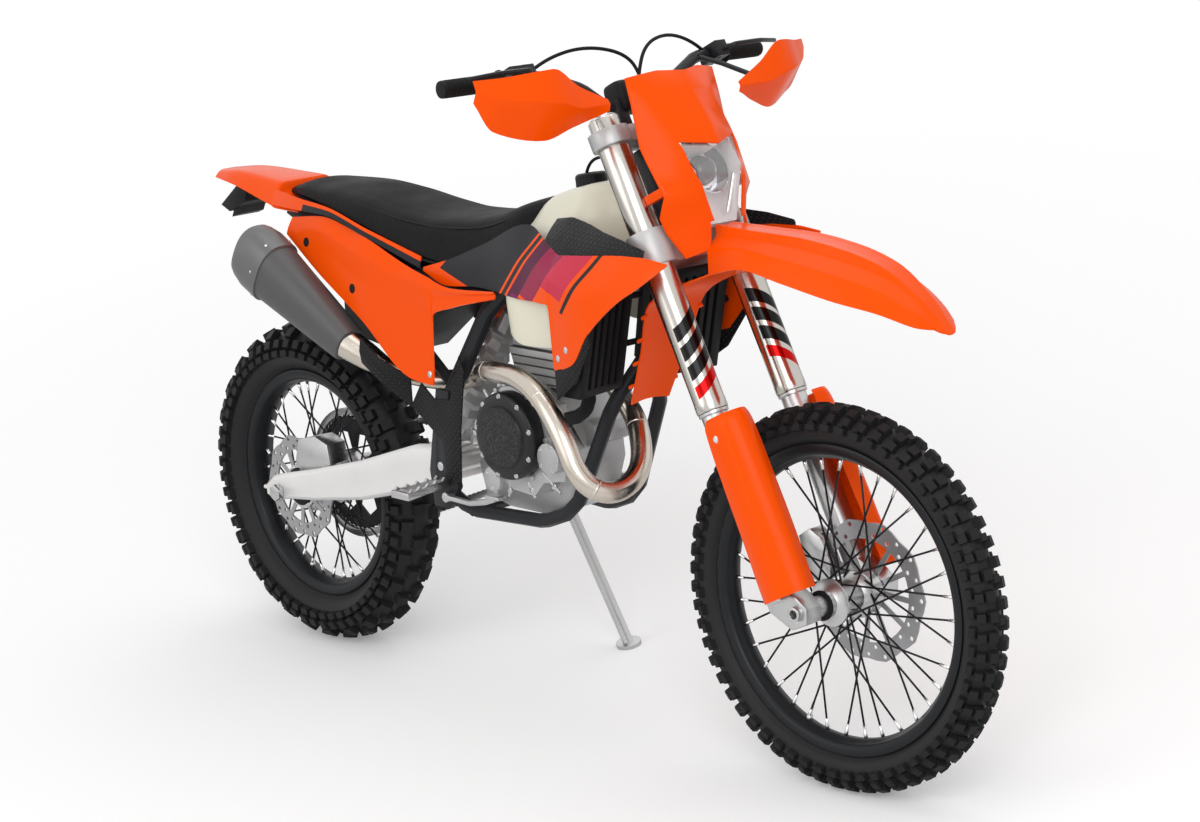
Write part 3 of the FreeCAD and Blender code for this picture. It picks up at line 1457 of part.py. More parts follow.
def fork_inner():
    y = -fork_half_width
    tube = leg_bar(-1, overrun / 2, outer_low_t - seat_gap, inner_radius)
    shoulder = axle_offset + inner_radius / 2
    lug = fork_slab([(-lug_depth_back, overrun), (-lug_depth_back, overrun / 3),
                     (axle_offset - inner_radius, -inner_radius), (shoulder, -inner_radius),
                     (axle_offset + inner_radius, 0), (shoulder, inner_radius), (inner_radius, overrun)],
                    y - lug_half_width, y + lug_half_width)
    hole = cross_bar(front_axle.x, front_axle.z, -2 * arm_outer_y, 2 * arm_outer_y,
                     front_axle_radius + pin_gap,
                     2 * ring_sides)
    return fused([tube, lug]).cut(hole)


axle_head = 10.0
axle_bore_share = 0.62


def front_axle_shaft():
    end = fork_half_width + lug_half_width
    shaft = rod(front_axle - V(0, end + axle_head, 0), front_axle + V(0, end, 0),
                front_axle_radius * axle_fit_share)
    bore = rod(front_axle - V(0, end + overrun, 0), front_axle + V(0, end + overrun, 0),
               front_axle_radius * axle_bore_share)
    return shaft.cut(bore)


axle_fit_share = math.cos(math.pi / ring_sides / 2)

guard_low_t = 34.0
guard_high_t = 368.0
guard_width = 78.0
guard_reach = 46.0
guard_foot_t = guard_low_t + 2 * inner_radius
guard_skin_share = 0.94
# round the leg, at the guard's foot and its top: how far ahead and how far outboard of the leg
guard_foot_shares = [(-0.13, -0.78), (0.4, -1), (1, -0.3), (0.88, 0.3)]
guard_top_shares = [(0.22, -0.82), (0.62, -0.8), (0.95, -0.04), (0.82, 0.42)]
guard_tab_half = 5.0


def fork_guard():
    """A folded shield outboard and ahead of the leg, on a collar round the inner tube."""
    sections = []
    for t, shares in ((guard_low_t, guard_foot_shares), (guard_high_t, guard_top_shares)):
        outer = [(n * guard_width, y * guard_reach) for n, y in shares]
        inner = [(n * guard_skin_share, y * guard_skin_share) for n, y in reversed(outer)]
        sections.append([fork(n, y - fork_half_width, t) for n, y in outer + inner])
    collar = leg_bar(-1, guard_foot_t, guard_foot_t + 2 * wall, inner_radius + 2 * wall)
    tab_end = guard_width * guard_skin_share - wall
    tab = fork_slab([(inner_radius, guard_foot_t), (tab_end, guard_foot_t),
                     (tab_end, guard_foot_t + 2 * wall),
                     (inner_radius, guard_foot_t + 2 * wall)],
                    -fork_half_width - 2 * guard_tab_half, -fork_half_width)
    tube = leg_bar(-1, 0, guard_high_t, inner_radius + seat_gap)
    return fused([loft(sections), collar, tab]).cut(tube)


# Handlebar, grips, levers and hand guards

bar_radius = 11.0
bar_route = [(-16, 0, 958), (-16, 62, 958), (-8, 120, 1000), (-14, 200, 1036), (-46, 404, 1046)]
bar_clamp_half = 46.0
bar_clamp_half_width = 12.0
bar_clamp_half_deep = 14.0
grip_radius = 16.0
grip_length = 122.0
stay_radius = 5.0
stay_sides = 6
guard_stay_route = [(-14, 200, 1036), (34, 206, 1000), (124, 212, 922)]


def bar_place(i, side):
    n, y, t = bar_route[i]
    return fork(n, side * y, t)


def handlebar():
    places = [bar_place(i, -1) for i in range(len(bar_route) - 1, 0, -1)]
    places += [bar_place(i, 1) for i in range(1, len(bar_route))]
    shapes = [bent_tube(places, bar_radius, overrun, hub_sides)]
    n, _, t = bar_route[0]
    low, high = upper_clamp_t + upper_clamp_height + seat_gap, t + bar_clamp_half_deep
    back, front = n - bar_clamp_half_deep, n + bar_clamp_half_deep
    guard = hand_guard()
    guard.translate(fork_forward * -seat_gap)
    for side in (-1, 1):
        middle = side * bar_clamp_half
        shapes.append(fork_slab([(back, low), (front, low), (front, high), (back, high)],
                                middle - bar_clamp_half_width, middle + bar_clamp_half_width))
        stay = bent_tube([fork(n, side * y, t) for n, y, t in guard_stay_route], stay_radius, overrun,
                         stay_sides)
        near = guard if side < 0 else mirrored(guard)
        shapes.append(min(stay.cut(near).Solids, key=lambda piece: piece.CenterOfMass.dot(fork_forward)))
    return fused(shapes)


def grip():
    inner_end, outer_end = bar_place(-2, -1), bar_place(-1, -1)
    way = (outer_end - inner_end).normalize()
    start, end = outer_end - way * grip_length, outer_end + way * (2 * wall)
    flange = bar(start, start + way * (2 * wall), grip_radius + hub_wall, hub_sides)
    core = bar(inner_end, outer_end + way * seat_gap, bar_radius + seat_gap, hub_sides)
    return fused([bar(start, end, grip_radius, hub_sides), flange]).cut(core)


hand_guard_inner_y = 170.0
hand_guard_width = 254.0
hand_guard_depth = 112.0
hand_guard_low_t = 905.0
hand_guard_height = 117.0
hand_guard_wall = 4.0
# across the guard: how far ahead and how high its lower edge, crease and upper edge are
hand_guard_shares = [
    (0, (0.75, 0.1624), (0.8214, 0.2479), (0.8036, 0.3333)),
    (0.2559, (0.4286, 0.0855), (0.8571, 0.2308), (0.875, 0.5726)),
    (0.4803, (0.2679, 0), (0.9286, 0.3333), (1, 0.8462)),
    (0.8425, (0.1071, 0.2991), (0.625, 0.5897), (0.625, 0.9316)),
    (1, (0.3036, 0.6923), (0.4464, 0.8376), (0.4643, 1))]


def hand_guard():
    sections = []
    for y_share, *corners in hand_guard_shares:
        y = hand_guard_inner_y + y_share * hand_guard_width
        outer = [(n * hand_guard_depth, hand_guard_low_t + t * hand_guard_height) for n, t in corners]
        inner = [(n - hand_guard_wall, t) for n, t in reversed(outer)]
        sections.append([fork(n, -y, t) for n, t in outer + inner])
    return loft(sections)


lever_route = [(9, 256, 1036), (34, 262, 1034), (30, 336, 1036), (12, 396, 1038)]
lever_radius = 4.5
perch_inner_y = 234.0
perch_outer_y = 262.0
perch_back_n = -38.0
perch_front_n = 14.0
perch_low_t = 1022.0
perch_high_t = 1052.0
mirror_hole_n = 1.5
mirror_hole_y = 243.0
mirror_hole_radius = 4.25
reservoir_length = 34.0
reservoir_half = 11.0
reservoir_height = 10.0


def levers():
    """On each side a lever in its perch on the bar, with the brake fluid's box on the right."""
    shapes = []
    for side in (-1, 1):
        route = [fork(n, side * y, t) for n, y, t in lever_route]
        ends = sorted([side * perch_inner_y, side * perch_outer_y])
        perch = fork_slab([(perch_back_n, perch_low_t), (perch_front_n, perch_low_t),
                           (perch_front_n, perch_high_t),
                           (perch_back_n, perch_high_t)], ends[0], ends[1])
        parts = [bent_tube(route, lever_radius, overrun, stay_sides), perch]
        if side < 0:
            middle = perch_back_n + reservoir_half
            parts.append(fork_slab([(middle - reservoir_half, perch_high_t),
                                    (middle + reservoir_half, perch_high_t),
                                    (middle + reservoir_half, perch_high_t + reservoir_height),
                                    (middle - reservoir_half, perch_high_t + reservoir_height)],
                                   ends[0] + seat_gap, ends[0] + reservoir_length))
        hole = bar(bar_place(-2, side), bar_place(-1, side), bar_radius + seat_gap, hub_sides)
        mirror = rod(fork(mirror_hole_n, side * mirror_hole_y, perch_low_t - overrun),
                     fork(mirror_hole_n, side * mirror_hole_y, perch_high_t + overrun), mirror_hole_radius)
        shapes.append(trimmed(fused(parts), [hole, mirror]))
    return shapes


# Headlamp and its mask

lamp_back_n = 60.0
lamp_depth = 80.0
lamp_half_width = 70.0
lamp_low_t = 690.0
lamp_rise = 150.0
# round the lens: half width, height and how far ahead
lens_shares = [(1, 1, 0.64), (0, 0.86, 1), (-1, 1, 0.64), (-0.86, 0.62, 0.84), (-0.5, 0, 0.4),
               (0.5, 0, 0.4),
               (0.86, 0.62, 0.84)]
lens_middle_share = 0.98
mask_half_width = 114.0
mask_depth = 144.0
mask_low_t = 648.0
mask_height = 329.0
mask_wall = 4.0
# up the mask: how high, then how far ahead and how wide its edge, its crease and its middle are
mask_shares = [
    (0, (0.3611, 0.7368), (0.6111, 0.4035), (0.7222, 0)),
    (0.1581, (0.3125, 0.886), (0.6806, 0.4561), (0.7917, 0)),
    (0.2432, (0.3472, 0.9561), (0.7361, 0.5263), (0.8611, 0)),
    (0.3313, (0.5556, 0.9737), (0.8056, 0.5614), (0.9444, 0)),
    (0.538, (0.5, 0.9912), (0.8194, 0.6491), (1, 0)),
    (0.6292, (0.4861, 1), (0.7917, 0.6667), (0.9931, 0)),
    (0.8571, (0.5972, 0.9912), (0.7778, 0.5789), (0.9028, 0)),
    (1, (0.6458, 0.9825), (0.7639, 0.5439), (0.8542, 0))]
dip_half = 52.0
dip_t = 950.0
strap_t = 760.0
strap_height = 16.0
strap_half = 6.0
fender_gate_shares = [(-0.6, -0.3), (0.6, -0.3), (0.39, 0.14), (-0.39, 0.14)]


def lens_outline(gap):
    places = []
    for y, t, n in lens_shares:
        wide = y * lamp_half_width + math.copysign(gap, y) if y else 0
        places.append((wide, lamp_low_t + t * lamp_rise + (gap if t > 1 / 2 else -gap),
                       lamp_back_n + n * lamp_depth))
    return places


def headlamp():
    """A faceted lens with a deep shell behind it."""
    outline = lens_outline(0)
    back = [fork(lamp_back_n, y, t) for y, t, n in outline]
    front = [fork(n, y, t) for y, t, n in outline]
    middle = fork(lamp_back_n + lens_middle_share * lamp_depth, 0, lamp_low_t + lamp_rise / 2)
    faces = [Part.Face(polygon(back))]
    for i in range(len(outline)):
        j = (i + 1) % len(outline)
        faces.append(Part.Face(polygon([back[i], back[j], front[j], front[i]])))
        faces.append(Part.Face(polygon([front[i], front[j], middle])))
    return closed(faces)


def headlamp_mask():
    """A thin faceted shell round the lamp, dipped at the top, open below and strapped to the legs."""
    sections = []
    for t_share, edge, crease, middle in mask_shares:
        half = [(n * mask_depth, y * mask_half_width) for n, y in (edge, crease, middle)]
        outer = [(n, -y) for n, y in half] + [(n, y) for n, y in reversed(half[:2])]
        inner = [(n - mask_wall, y) for n, y in reversed(outer)]
        sections.append([fork(n, y, mask_low_t + t_share * mask_height) for n, y in outer + inner])
    ahead = fork_forward * (2 * mask_depth)
    top = mask_low_t + mask_height
    dip = prism([fork(0, -dip_half, top), fork(0, 0, top + overrun), fork(0, dip_half, top),
                 fork(0, 0, dip_t)], ahead)
    window = prism([fork(0, y, t) for y, t, n in lens_outline(seat_gap)], ahead)
    gate = prism([fork(0, y * mask_half_width, mask_low_t + t * mask_height) for y,
                  t in fender_gate_shares], ahead)
    straps = []
    start = outer_radius + seat_gap
    end = mask_shares[3][1][0] * mask_depth + wall
    for side in (-1, 1):
        middle = side * (fork_half_width - wall)
        straps.append(fork_slab([(start, strap_t), (end, strap_t), (end, strap_t + strap_height),
                                 (start, strap_t + strap_height)], middle - strap_half,
                                 middle + strap_half))
    return fused([trimmed(loft(sections), [dip, window, gate])] + straps)


# Front fender

fender_reach = 470.0
fender_side = 88.0
fender_base_t = 340.0
fender_rise = 350.0
# along the fender: how far ahead, how high and how wide its crown is, then the same of its side edge
front_fender_shares = [
    (0.1872, 1, 0.2727, 0.1574, 0.76, 0.8182),
    (0.3617, 0.9, 0.3409, 0.3404, 0.6971, 0.9545),
    (0.5319, 0.7771, 0.3636, 0.5021, 0.5429, 1),
    (0.7021, 0.6343, 0.3409, 0.6766, 0.3657, 0.9659),
    (0.8511, 0.4343, 0.2841, 0.8426, 0.2057, 0.8182),
    (0.9574, 0.2057, 0.1932, 0.9489, 0.0743, 0.5909),
    (0.9957, 0.0343, 0.0909, 1, 0, 0.2727)]
tail_thickness = 4.0
# along the tail: how far behind, how high and how wide
tail_shares = [
    (0.2043, 0.76, 0.8295), (-0.1809, 0.7771, 0.8409), (-0.5106, 0.3714, 0.5682)]
fin_spots_share = [0.1, 0.33, 0.56, 0.79]
fin_length = 14.0
fin_reach = 9.0
pad_back_n = -20.0
pad_front_n = 30.0
pad_half_y = 28.0


def front_fender():
    """The long beak, its flap between the legs with fins on its edges, and the pad under the lower clamp."""
    sections = []
    for shares in front_fender_shares:
        n, t, half, sn, st, side = [share * size for share, size in
                                    zip(shares, (fender_reach, fender_rise, fender_side) * 2)]
        share = wall / math.hypot(sn - n, st - t)
        outer = [(sn, -side, st), (n, -half, t), (n, half, t), (sn, side, st)]
        under_n, under_t = n + (sn - n) * share, t + (st - t) * share
        inner = [(sn, side - wall, st), (under_n, half - wall / 2, under_t),
                 (under_n, wall / 2 - half, under_t),
                 (sn, wall - side, st)]
        sections.append([fork(a, b, fender_base_t + c) for a, b, c in outer + inner])
    flap = []
    places = [(n * fender_reach, fender_base_t + t * fender_rise, half * fender_side) for n, t,
              half in tail_shares]
    for n, t, half in places:
        flap.append([fork(n, -half, t), fork(n, half, t),
                     fork(n - tail_thickness, half, t - tail_thickness),
                     fork(n - tail_thickness, -half, t - tail_thickness)])
    fins = []
    (n0, t0, half0), (n1, t1, half1) = places[1], places[2]
    for share in fin_spots_share:
        n, t, half = n0 + (n1 - n0) * share, t0 + (t1 - t0) * share, half0 + (half1 - half0) * share
        fin = prism([fork(n, wall - half, t), fork(n - fin_length, wall - half, t),
                     fork(n - fin_length / 2, -half - fin_reach, t)], fork_up * -tail_thickness)
        fins += [fin, mirrored(fin)]
    top = lower_clamp_t - seat_gap
    low = places[0][1] - tail_thickness / 2
    pad = fork_slab([(pad_back_n, low), (pad_front_n, low), (pad_front_n, top), (pad_back_n, top)],
                    -pad_half_y, pad_half_y)
    return fused([loft(sections), loft(flap), pad] + fins)


front_caliper_places = [(-66, 70), (-52, 44), (-20, 44), (-8, 72), (-10, 118), (-26, 140), (-56, 136)]


def front_caliper():
    y_out = fork_half_width - lug_half_width - seat_gap
    y_in = front_disc_y - disc_room - pad_depth
    block = fork_slab(front_caliper_places, y_in, y_out)
    leg = leg_bar(1, 0, outer_low_t, inner_radius + 2 * wall + seat_gap)
    return trimmed(block, [brake_slot(front_axle, front_disc_radius, front_disc_y), leg])


# The whole motorcycle

steered_nodes = ["triple_clamps", "fork_outer_tubes", "fork_inner_tubes", "front_axle", "fork_guards",
                 "handlebar",
                 "grips", "hand_guards", "headlamp_mask", "headlamp", "front_fender", "front_caliper",
                 "control_levers", "front_tyre", "front_rim", "front_hub", "front_disc"]


def build():
    nodes = {}
    nodes["front_tyre"] = tyre(front_axle, front_tyre_radius, front_crown_radius, front_section,
                               front_rim_half,
                               front_cant, front_knob_shares, front_pitches)
    nodes["front_rim"] = rim(front_axle, front_bead_radius, front_rim_half, front_pitches)
    nodes["rear_tyre"] = tyre(rear_axle, rear_tyre_radius, rear_crown_radius, rear_section, rear_rim_half,
                              lean, rear_knob_shares, rear_pitches)
    nodes["rear_rim"] = rim(rear_axle, rear_bead_radius, rear_rim_half, rear_pitches)
    core = hub(front_axle, front_hub_radius, front_flange_hub_radius, front_flange_y, front_spacer_radius,
               front_spacer_y, [(front_disc_y - seat_gap, front_carrier_radius)])
    wires = spokes(front_axle, front_flange_hub_radius, front_flange_y, front_rim_inner, front_pitches)
    nodes["front_hub"] = spoked_hub(core, wires, front_axle, front_axle_radius)
    core = hub(rear_axle, rear_hub_radius, rear_flange_hub_radius, rear_flange_y, rear_spacer_radius,
               arm_inner_y - seat_gap, [(rear_disc_y + seat_gap, rear_carrier_radius),
                                        (chain_y - sprocket_thickness / 2 - seat_gap, rear_carrier_radius)])
    wires = spokes(rear_axle, rear_flange_hub_radius, rear_flange_y, rear_rim_inner, rear_pitches)
    nodes["rear_hub"] = spoked_hub(core, wires, rear_axle, rear_axle_radius)
    nodes["front_disc"] = wave_disc(front_axle, front_disc_radius, front_disc_y,
                                    front_spacer_radius + seat_gap)
    nodes["rear_disc"] = wave_disc(rear_axle, rear_disc_radius, rear_disc_y - disc_thickness,
                                   rear_spacer_radius + seat_gap)
    nodes["rear_sprocket"] = sprocket(rear_axle, sprocket_pitch_radius, sprocket_teeth, chain_y,
                                      rear_spacer_radius + seat_gap,
                                      sprocket_pitch_radius - chain_half_height - seat_gap)
    nodes["chain"] = chain()
    nodes["drive_sprocket"] = drive_sprocket()
    nodes["swingarm"] = swingarm()
    nodes["rear_axle"] = rear_axle_shaft()
    nodes["main_frame"] = main_frame()
    nodes["subframe"] = subframe()
    nodes["airbox"] = airbox()
    nodes["engine_case"] = engine_case()
    nodes["cylinder"] = cylinder()
    nodes["clutch_cover"] = clutch_cover()
    nodes["ignition_cover"] = ignition_cover()
    nodes["exhaust_header"] = exhaust_header()
    nodes["muffler"] = muffler()
    nodes["radiators"] = pair(radiator())
    nodes["coolant_hose"] = coolant_hose()
    nodes["fuel_tank"] = tank()
    nodes["fuel_cap"] = fuel_cap()
    nodes["seat"] = seat_body()
    nodes["shrouds"] = pair(shroud())
    nodes["shroud_caps"] = Part.makeCompound([pair(trim) for trim in shroud_trim()])
    nodes["side_panels"] = pair(side_panel())
    nodes["rear_fender"] = rear_fender()
    nodes["tail_lamp"] = tail_lamp()
    nodes["frame_guards"] = Part.makeCompound([right_guard(), mirrored(frame_guard())])
    nodes["footpegs"] = pair(footpeg())
    nodes["foot_controls"] = Part.makeCompound([brake_pedal(), gear_lever()])
    nodes["pivot_bolt"] = pivot_bolt()
    nodes["rear_caliper"] = rear_caliper()
    nodes["shock_absorber"] = shock()
    nodes["side_stand"] = side_stand()
    nodes["triple_clamps"] = triple_clamps()
    nodes["fork_outer_tubes"] = pair(fork_outer())
    nodes["fork_inner_tubes"] = pair(fork_inner())
    nodes["front_axle"] = front_axle_shaft()
    nodes["fork_guards"] = pair(fork_guard())
    nodes["handlebar"] = handlebar()
    nodes["grips"] = pair(grip())
    nodes["hand_guards"] = pair(hand_guard())
    nodes["headlamp_mask"] = headlamp_mask()
    nodes["headlamp"] = headlamp()
    nodes["front_fender"] = front_fender()
    nodes["front_caliper"] = front_caliper()
    nodes["control_levers"] = Part.makeCompound(levers())
    return nodes


def stood(nodes):
    """The same solids standing on the floor, with the footprint centred on the origin."""
    lift = V(0, 0, -floor_level)
    turn = FreeCAD.Placement(lift, FreeCAD.Rotation(V(1, 0, 0), -lean_deg).multiply(
        FreeCAD.Rotation(V(0, 1, 0), math.degrees(pitch))))
    turned = {}
    for name, shape in nodes.items():
        copy = shape.copy()
        place = turn.multiply(parked) if name in steered_nodes else turn
        copy.Placement = place.multiply(copy.Placement)
        turned[name] = copy
    boxes = [shape.optimalBoundingBox(False, False) for shape in turned.values()]
    middle_x = (min(b.XMin for b in boxes) + max(b.XMax for b in boxes)) / 2
    middle_y = (min(b.YMin for b in boxes) + max(b.YMax for b in boxes)) / 2
    shift = FreeCAD.Placement(V(-middle_x, -middle_y, 0), FreeCAD.Rotation())
    for shape in turned.values():
        shape.Placement = shift.multiply(shape.Placement)
    return turned, shift.multiply(turn)


upright = build()
parts, standing = stood(upright)
if __name__ == "__main__":
    os.makedirs("parts", exist_ok=True)
    for name, shape in parts.items():
        print(name, len(shape.Solids), shape.isValid(), round(shape.Volume / 1000, 1))
        shape.exportStep(f"parts/{name}.step")
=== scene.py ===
"""The looks of a trail motorcycle parked on its side stand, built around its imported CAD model."""

import math

import bmesh
import bpy
from mathutils import Matrix, Vector
from mathutils.bvhtree import BVHTree


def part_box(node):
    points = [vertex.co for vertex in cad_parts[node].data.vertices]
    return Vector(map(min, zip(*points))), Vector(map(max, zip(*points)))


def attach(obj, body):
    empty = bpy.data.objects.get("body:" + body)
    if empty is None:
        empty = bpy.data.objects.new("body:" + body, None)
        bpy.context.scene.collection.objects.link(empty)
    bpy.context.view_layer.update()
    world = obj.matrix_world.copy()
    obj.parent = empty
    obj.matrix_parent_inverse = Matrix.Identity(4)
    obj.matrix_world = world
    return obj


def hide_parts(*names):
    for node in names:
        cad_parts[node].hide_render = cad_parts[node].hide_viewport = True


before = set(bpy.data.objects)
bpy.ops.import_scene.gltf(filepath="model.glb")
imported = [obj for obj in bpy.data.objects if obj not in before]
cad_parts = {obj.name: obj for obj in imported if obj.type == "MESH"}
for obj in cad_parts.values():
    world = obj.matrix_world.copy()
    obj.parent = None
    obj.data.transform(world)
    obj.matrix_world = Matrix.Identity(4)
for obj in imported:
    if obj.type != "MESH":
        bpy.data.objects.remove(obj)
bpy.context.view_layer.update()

# How the machine stands. Every piece is drawn upright in millimetres, with the ground under the rear
# axle as its origin, X forward and Y to the rider's left. It is then leaned onto its stand, and what
# belongs to the fork is first turned a little to the left.
LEAN = math.radians(10.5)
RAKE = math.radians(26.1)
PARKED_STEER = math.radians(3.77)
FORK_UP = Vector((-math.sin(RAKE), 0, math.cos(RAKE)))
FORK_AHEAD = Vector((math.cos(RAKE), 0, math.sin(RAKE)))
REAR_AXLE = Vector((0, 0, 340))
FRONT_AXLE = Vector((1487, 0, 346.69))
FORK_FOOT = FRONT_AXLE - FORK_AHEAD * 35
STEER_AXIS = FORK_FOOT - FORK_AHEAD * 22

low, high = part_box("rear_rim")
tilt = Matrix.Rotation(-LEAN, 4, "X")
parked = Matrix.Translation((low + high) / 2 - tilt @ REAR_AXLE / 1000) @ tilt @ Matrix.Scale(0.001, 4)
turned = (parked @ Matrix.Translation(STEER_AXIS) @ Matrix.Rotation(PARKED_STEER, 4, FORK_UP)
          @ Matrix.Translation(-STEER_AXIS))
standing = {"chassis": parked, "rear_wheel": parked, "side_stand": parked, "steering": turned,
            "front_wheel": turned}


def linked(thing):
    """Puts a new object into the scene."""
    bpy.context.scene.collection.objects.link(thing)
    return thing


# The studio: a white floor that runs to the horizon, a white surround, and three large soft lamps.
# The camera stands ahead of the machine on its right, a little above the tank.
camera_data = bpy.data.cameras.new("camera")
camera_data.lens = 91.86
camera_data.sensor_width = 36
camera_data.shift_x = -0.0035
camera_data.shift_y = -0.002
camera_data.clip_end = 200
camera = linked(bpy.data.objects.new("camera", camera_data))
right = Vector((0.67236, 0.73806, -0.05656))
above = Vector((-0.12720, 0.19048, 0.97342))
aim = Matrix((right, above, right.cross(above))).transposed()
camera_place = Vector((5062.15, -3702.08, 1879.33))
camera.matrix_world = Matrix.Translation(parked @ camera_place) @ tilt @ aim.to_4x4()
bpy.context.scene.camera = camera
bpy.context.scene.view_settings.view_transform = "Standard"


class Field:
    """A number that a node tree works out for each spot, written with the signs of plain sums."""

    def __init__(self, tree, socket):
        self.tree, self.socket = tree, socket

    def __add__(self, other):
        return sum_of(self.tree, "ADD", self, other)

    def __sub__(self, other):
        return sum_of(self.tree, "SUBTRACT", self, other)

    def __mul__(self, other):
        return sum_of(self.tree, "MULTIPLY", self, other)

    def __abs__(self):
        return sum_of(self.tree, "ABSOLUTE", self)


def joined(tree, kind, settings=None, **sockets):
    """A new node with its settings, whose inputs are given a value or another node's output."""
    node = tree.nodes.new(kind)
    for key, value in (settings or {}).items():
        setattr(node, key, value)
    for key, value in sockets.items():
        name = key.replace("_", " ")
        found = [s for s in node.inputs if s.name == name and s.enabled] or [node.inputs[int(key[1:])]]
        value = value.socket if isinstance(value, Field) else value
        if isinstance(value, bpy.types.NodeSocket):
            tree.links.new(value, found[0])
        else:
            found[0].default_value = value
    return node


def sum_of(tree, operation, *values):
    """The result of one math node."""
    inputs = {f"i{place}": value for place, value in enumerate(values)}
    return Field(tree, joined(tree, "ShaderNodeMath", {"operation": operation}, **inputs).outputs[0])


def cleared(tree):
    """The tree without its nodes, and what tells it that the camera looks straight at a spot."""
    tree.nodes.clear()
    return tree, joined(tree, "ShaderNodeLightPath").outputs


white = (1, 1, 1, 1)
world = bpy.data.worlds.new("studio")
bpy.context.scene.world = world
world.use_nodes = True
sky, path = cleared(world.node_tree)
seen = path["Is Camera Ray"]
for kind in ("Is Transmission Ray", "Is Glossy Ray"):
    seen = sum_of(sky, "MAXIMUM", seen, path[kind])
glow = joined(sky, "ShaderNodeBackground", Color=white, Strength=0.6)
backdrop = joined(sky, "ShaderNodeBackground", Color=white, Strength=1.0)
both = joined(sky, "ShaderNodeMixShader", i0=seen, i1=glow.outputs[0], i2=backdrop.outputs[0])
joined(sky, "ShaderNodeOutputWorld", Surface=both.outputs[0])

floor_mesh = bpy.data.meshes.new("floor")
floor_mesh.from_pydata([(-60, -60, 0), (60, -60, 0), (60, 60, 0), (-60, 60, 0)], [], [(0, 1, 2, 3)])
floor = linked(bpy.data.objects.new("floor", floor_mesh))
paper = bpy.data.materials.new("white_paper")
paper.use_nodes = True
tree, path = cleared(paper.node_tree)
away = joined(tree, "ShaderNodeVectorMath", {"operation": "LENGTH"},
              i0=joined(tree, "ShaderNodeTexCoord").outputs["Object"])
lift = joined(tree, "ShaderNodeMapRange", {"interpolation_type": "SMOOTHSTEP"}, Value=away.outputs["Value"],
              From_Min=0.2, From_Max=7.0, To_Min=0.16, To_Max=0.47)
lift = sum_of(tree, "MULTIPLY", path["Is Camera Ray"], lift.outputs["Result"])
matt = joined(tree, "ShaderNodeBsdfDiffuse", Color=(0.9, 0.9, 0.9, 1))
haze = joined(tree, "ShaderNodeEmission", Color=white, Strength=lift)
both = joined(tree, "ShaderNodeAddShader", i0=matt.outputs[0], i1=haze.outputs[0])
joined(tree, "ShaderNodeOutputMaterial", Surface=both.outputs[0])
floor_mesh.materials.append(paper)

for name, place, size, watts in (("front_softbox", (3.2, -2.6, 3.4), 2.6, 66),
                                 ("side_softbox", (-1.2, -4.2, 3.0), 3.0, 34),
                                 ("top_softbox", (0.3, 1.4, 4.6), 4.0, 46)):
    lamp_data = bpy.data.lights.new(name, "AREA")
    lamp_data.size = size
    lamp_data.energy = watts
    lamp = linked(bpy.data.objects.new(name, lamp_data))
    lamp.location = place
    lamp.rotation_euler = (Vector((0, 0, 0.5)) - Vector(place)).to_track_quat("-Z", "Y").to_euler()


# Tyres: moulded rubber carcasses, 21 inch in front and 18 inch behind, with tall rubber lugs in rows.
# Smooth sidewalls carry two raised rings; the lugs are placed round the wheel by one node tree.


def finished(name, mesh, body, coat, slot, node=None, crease=35, smooth=True):
    """A piece with its surface, which rides its body and stands for a node of the CAD model."""
    mesh.polygons.foreach_set("use_smooth", [smooth] * len(mesh.polygons))
    mesh.materials.clear()
    mesh.materials.append(coat)
    if crease:
        mesh.set_sharp_from_angle(angle=math.radians(crease))
    piece = linked(bpy.data.objects.new(name, mesh))
    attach(piece, body)
    if node:
        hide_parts(node)
    return piece


def placed(name, mesh, body, *looks, **more):
    """A finished piece whose mesh, drawn upright, is moved into the parked machine."""
    mesh.transform(standing[body])
    return finished(name, mesh, body, *looks, **more)


def mesh_of(corners, faces):
    mesh = bpy.data.meshes.new("mesh")
    mesh.from_pydata([tuple(c) for c in corners], [], faces)
    mesh.validate()
    return mesh


def merged(meshes):
    """Several meshes as one, with their corners kept apart."""
    corners, faces = [], []
    for mesh in meshes:
        start = len(corners)
        corners += [v.co.copy() for v in mesh.vertices]
        faces += [tuple(i + start for i in p.vertices) for p in mesh.polygons]
    return mesh_of(corners, faces)


def lofted(rings, capped=True):
    """A mesh through rings of places: its ends are filled, or its last ring is joined to its first."""
    count, wide = len(rings), len(rings[0])
    faces = []
    for i in range(count - 1 if capped else count):
        here, there = i * wide, (i + 1) % count * wide
        faces += [(here + k, here + (k + 1) % wide, there + (k + 1) % wide, there + k) for k in range(wide)]
    if capped:
        faces += [tuple(reversed(range(wide))), tuple(range((count - 1) * wide, count * wide))]
    return mesh_of([place for ring_places in rings for place in ring_places], faces)


def turns(steps):
    """The angles of a circle's even steps."""
    return [math.tau * i / steps for i in range(steps)]


def turned_profile(profile, centre, steps=144):
    """A closed profile of (radius, across) places turned round the axle line through the centre."""
    return lofted([[centre + Vector((radius * math.cos(turn), across, radius * math.sin(turn)))
                    for radius, across in profile] for turn in turns(steps)], capped=False)


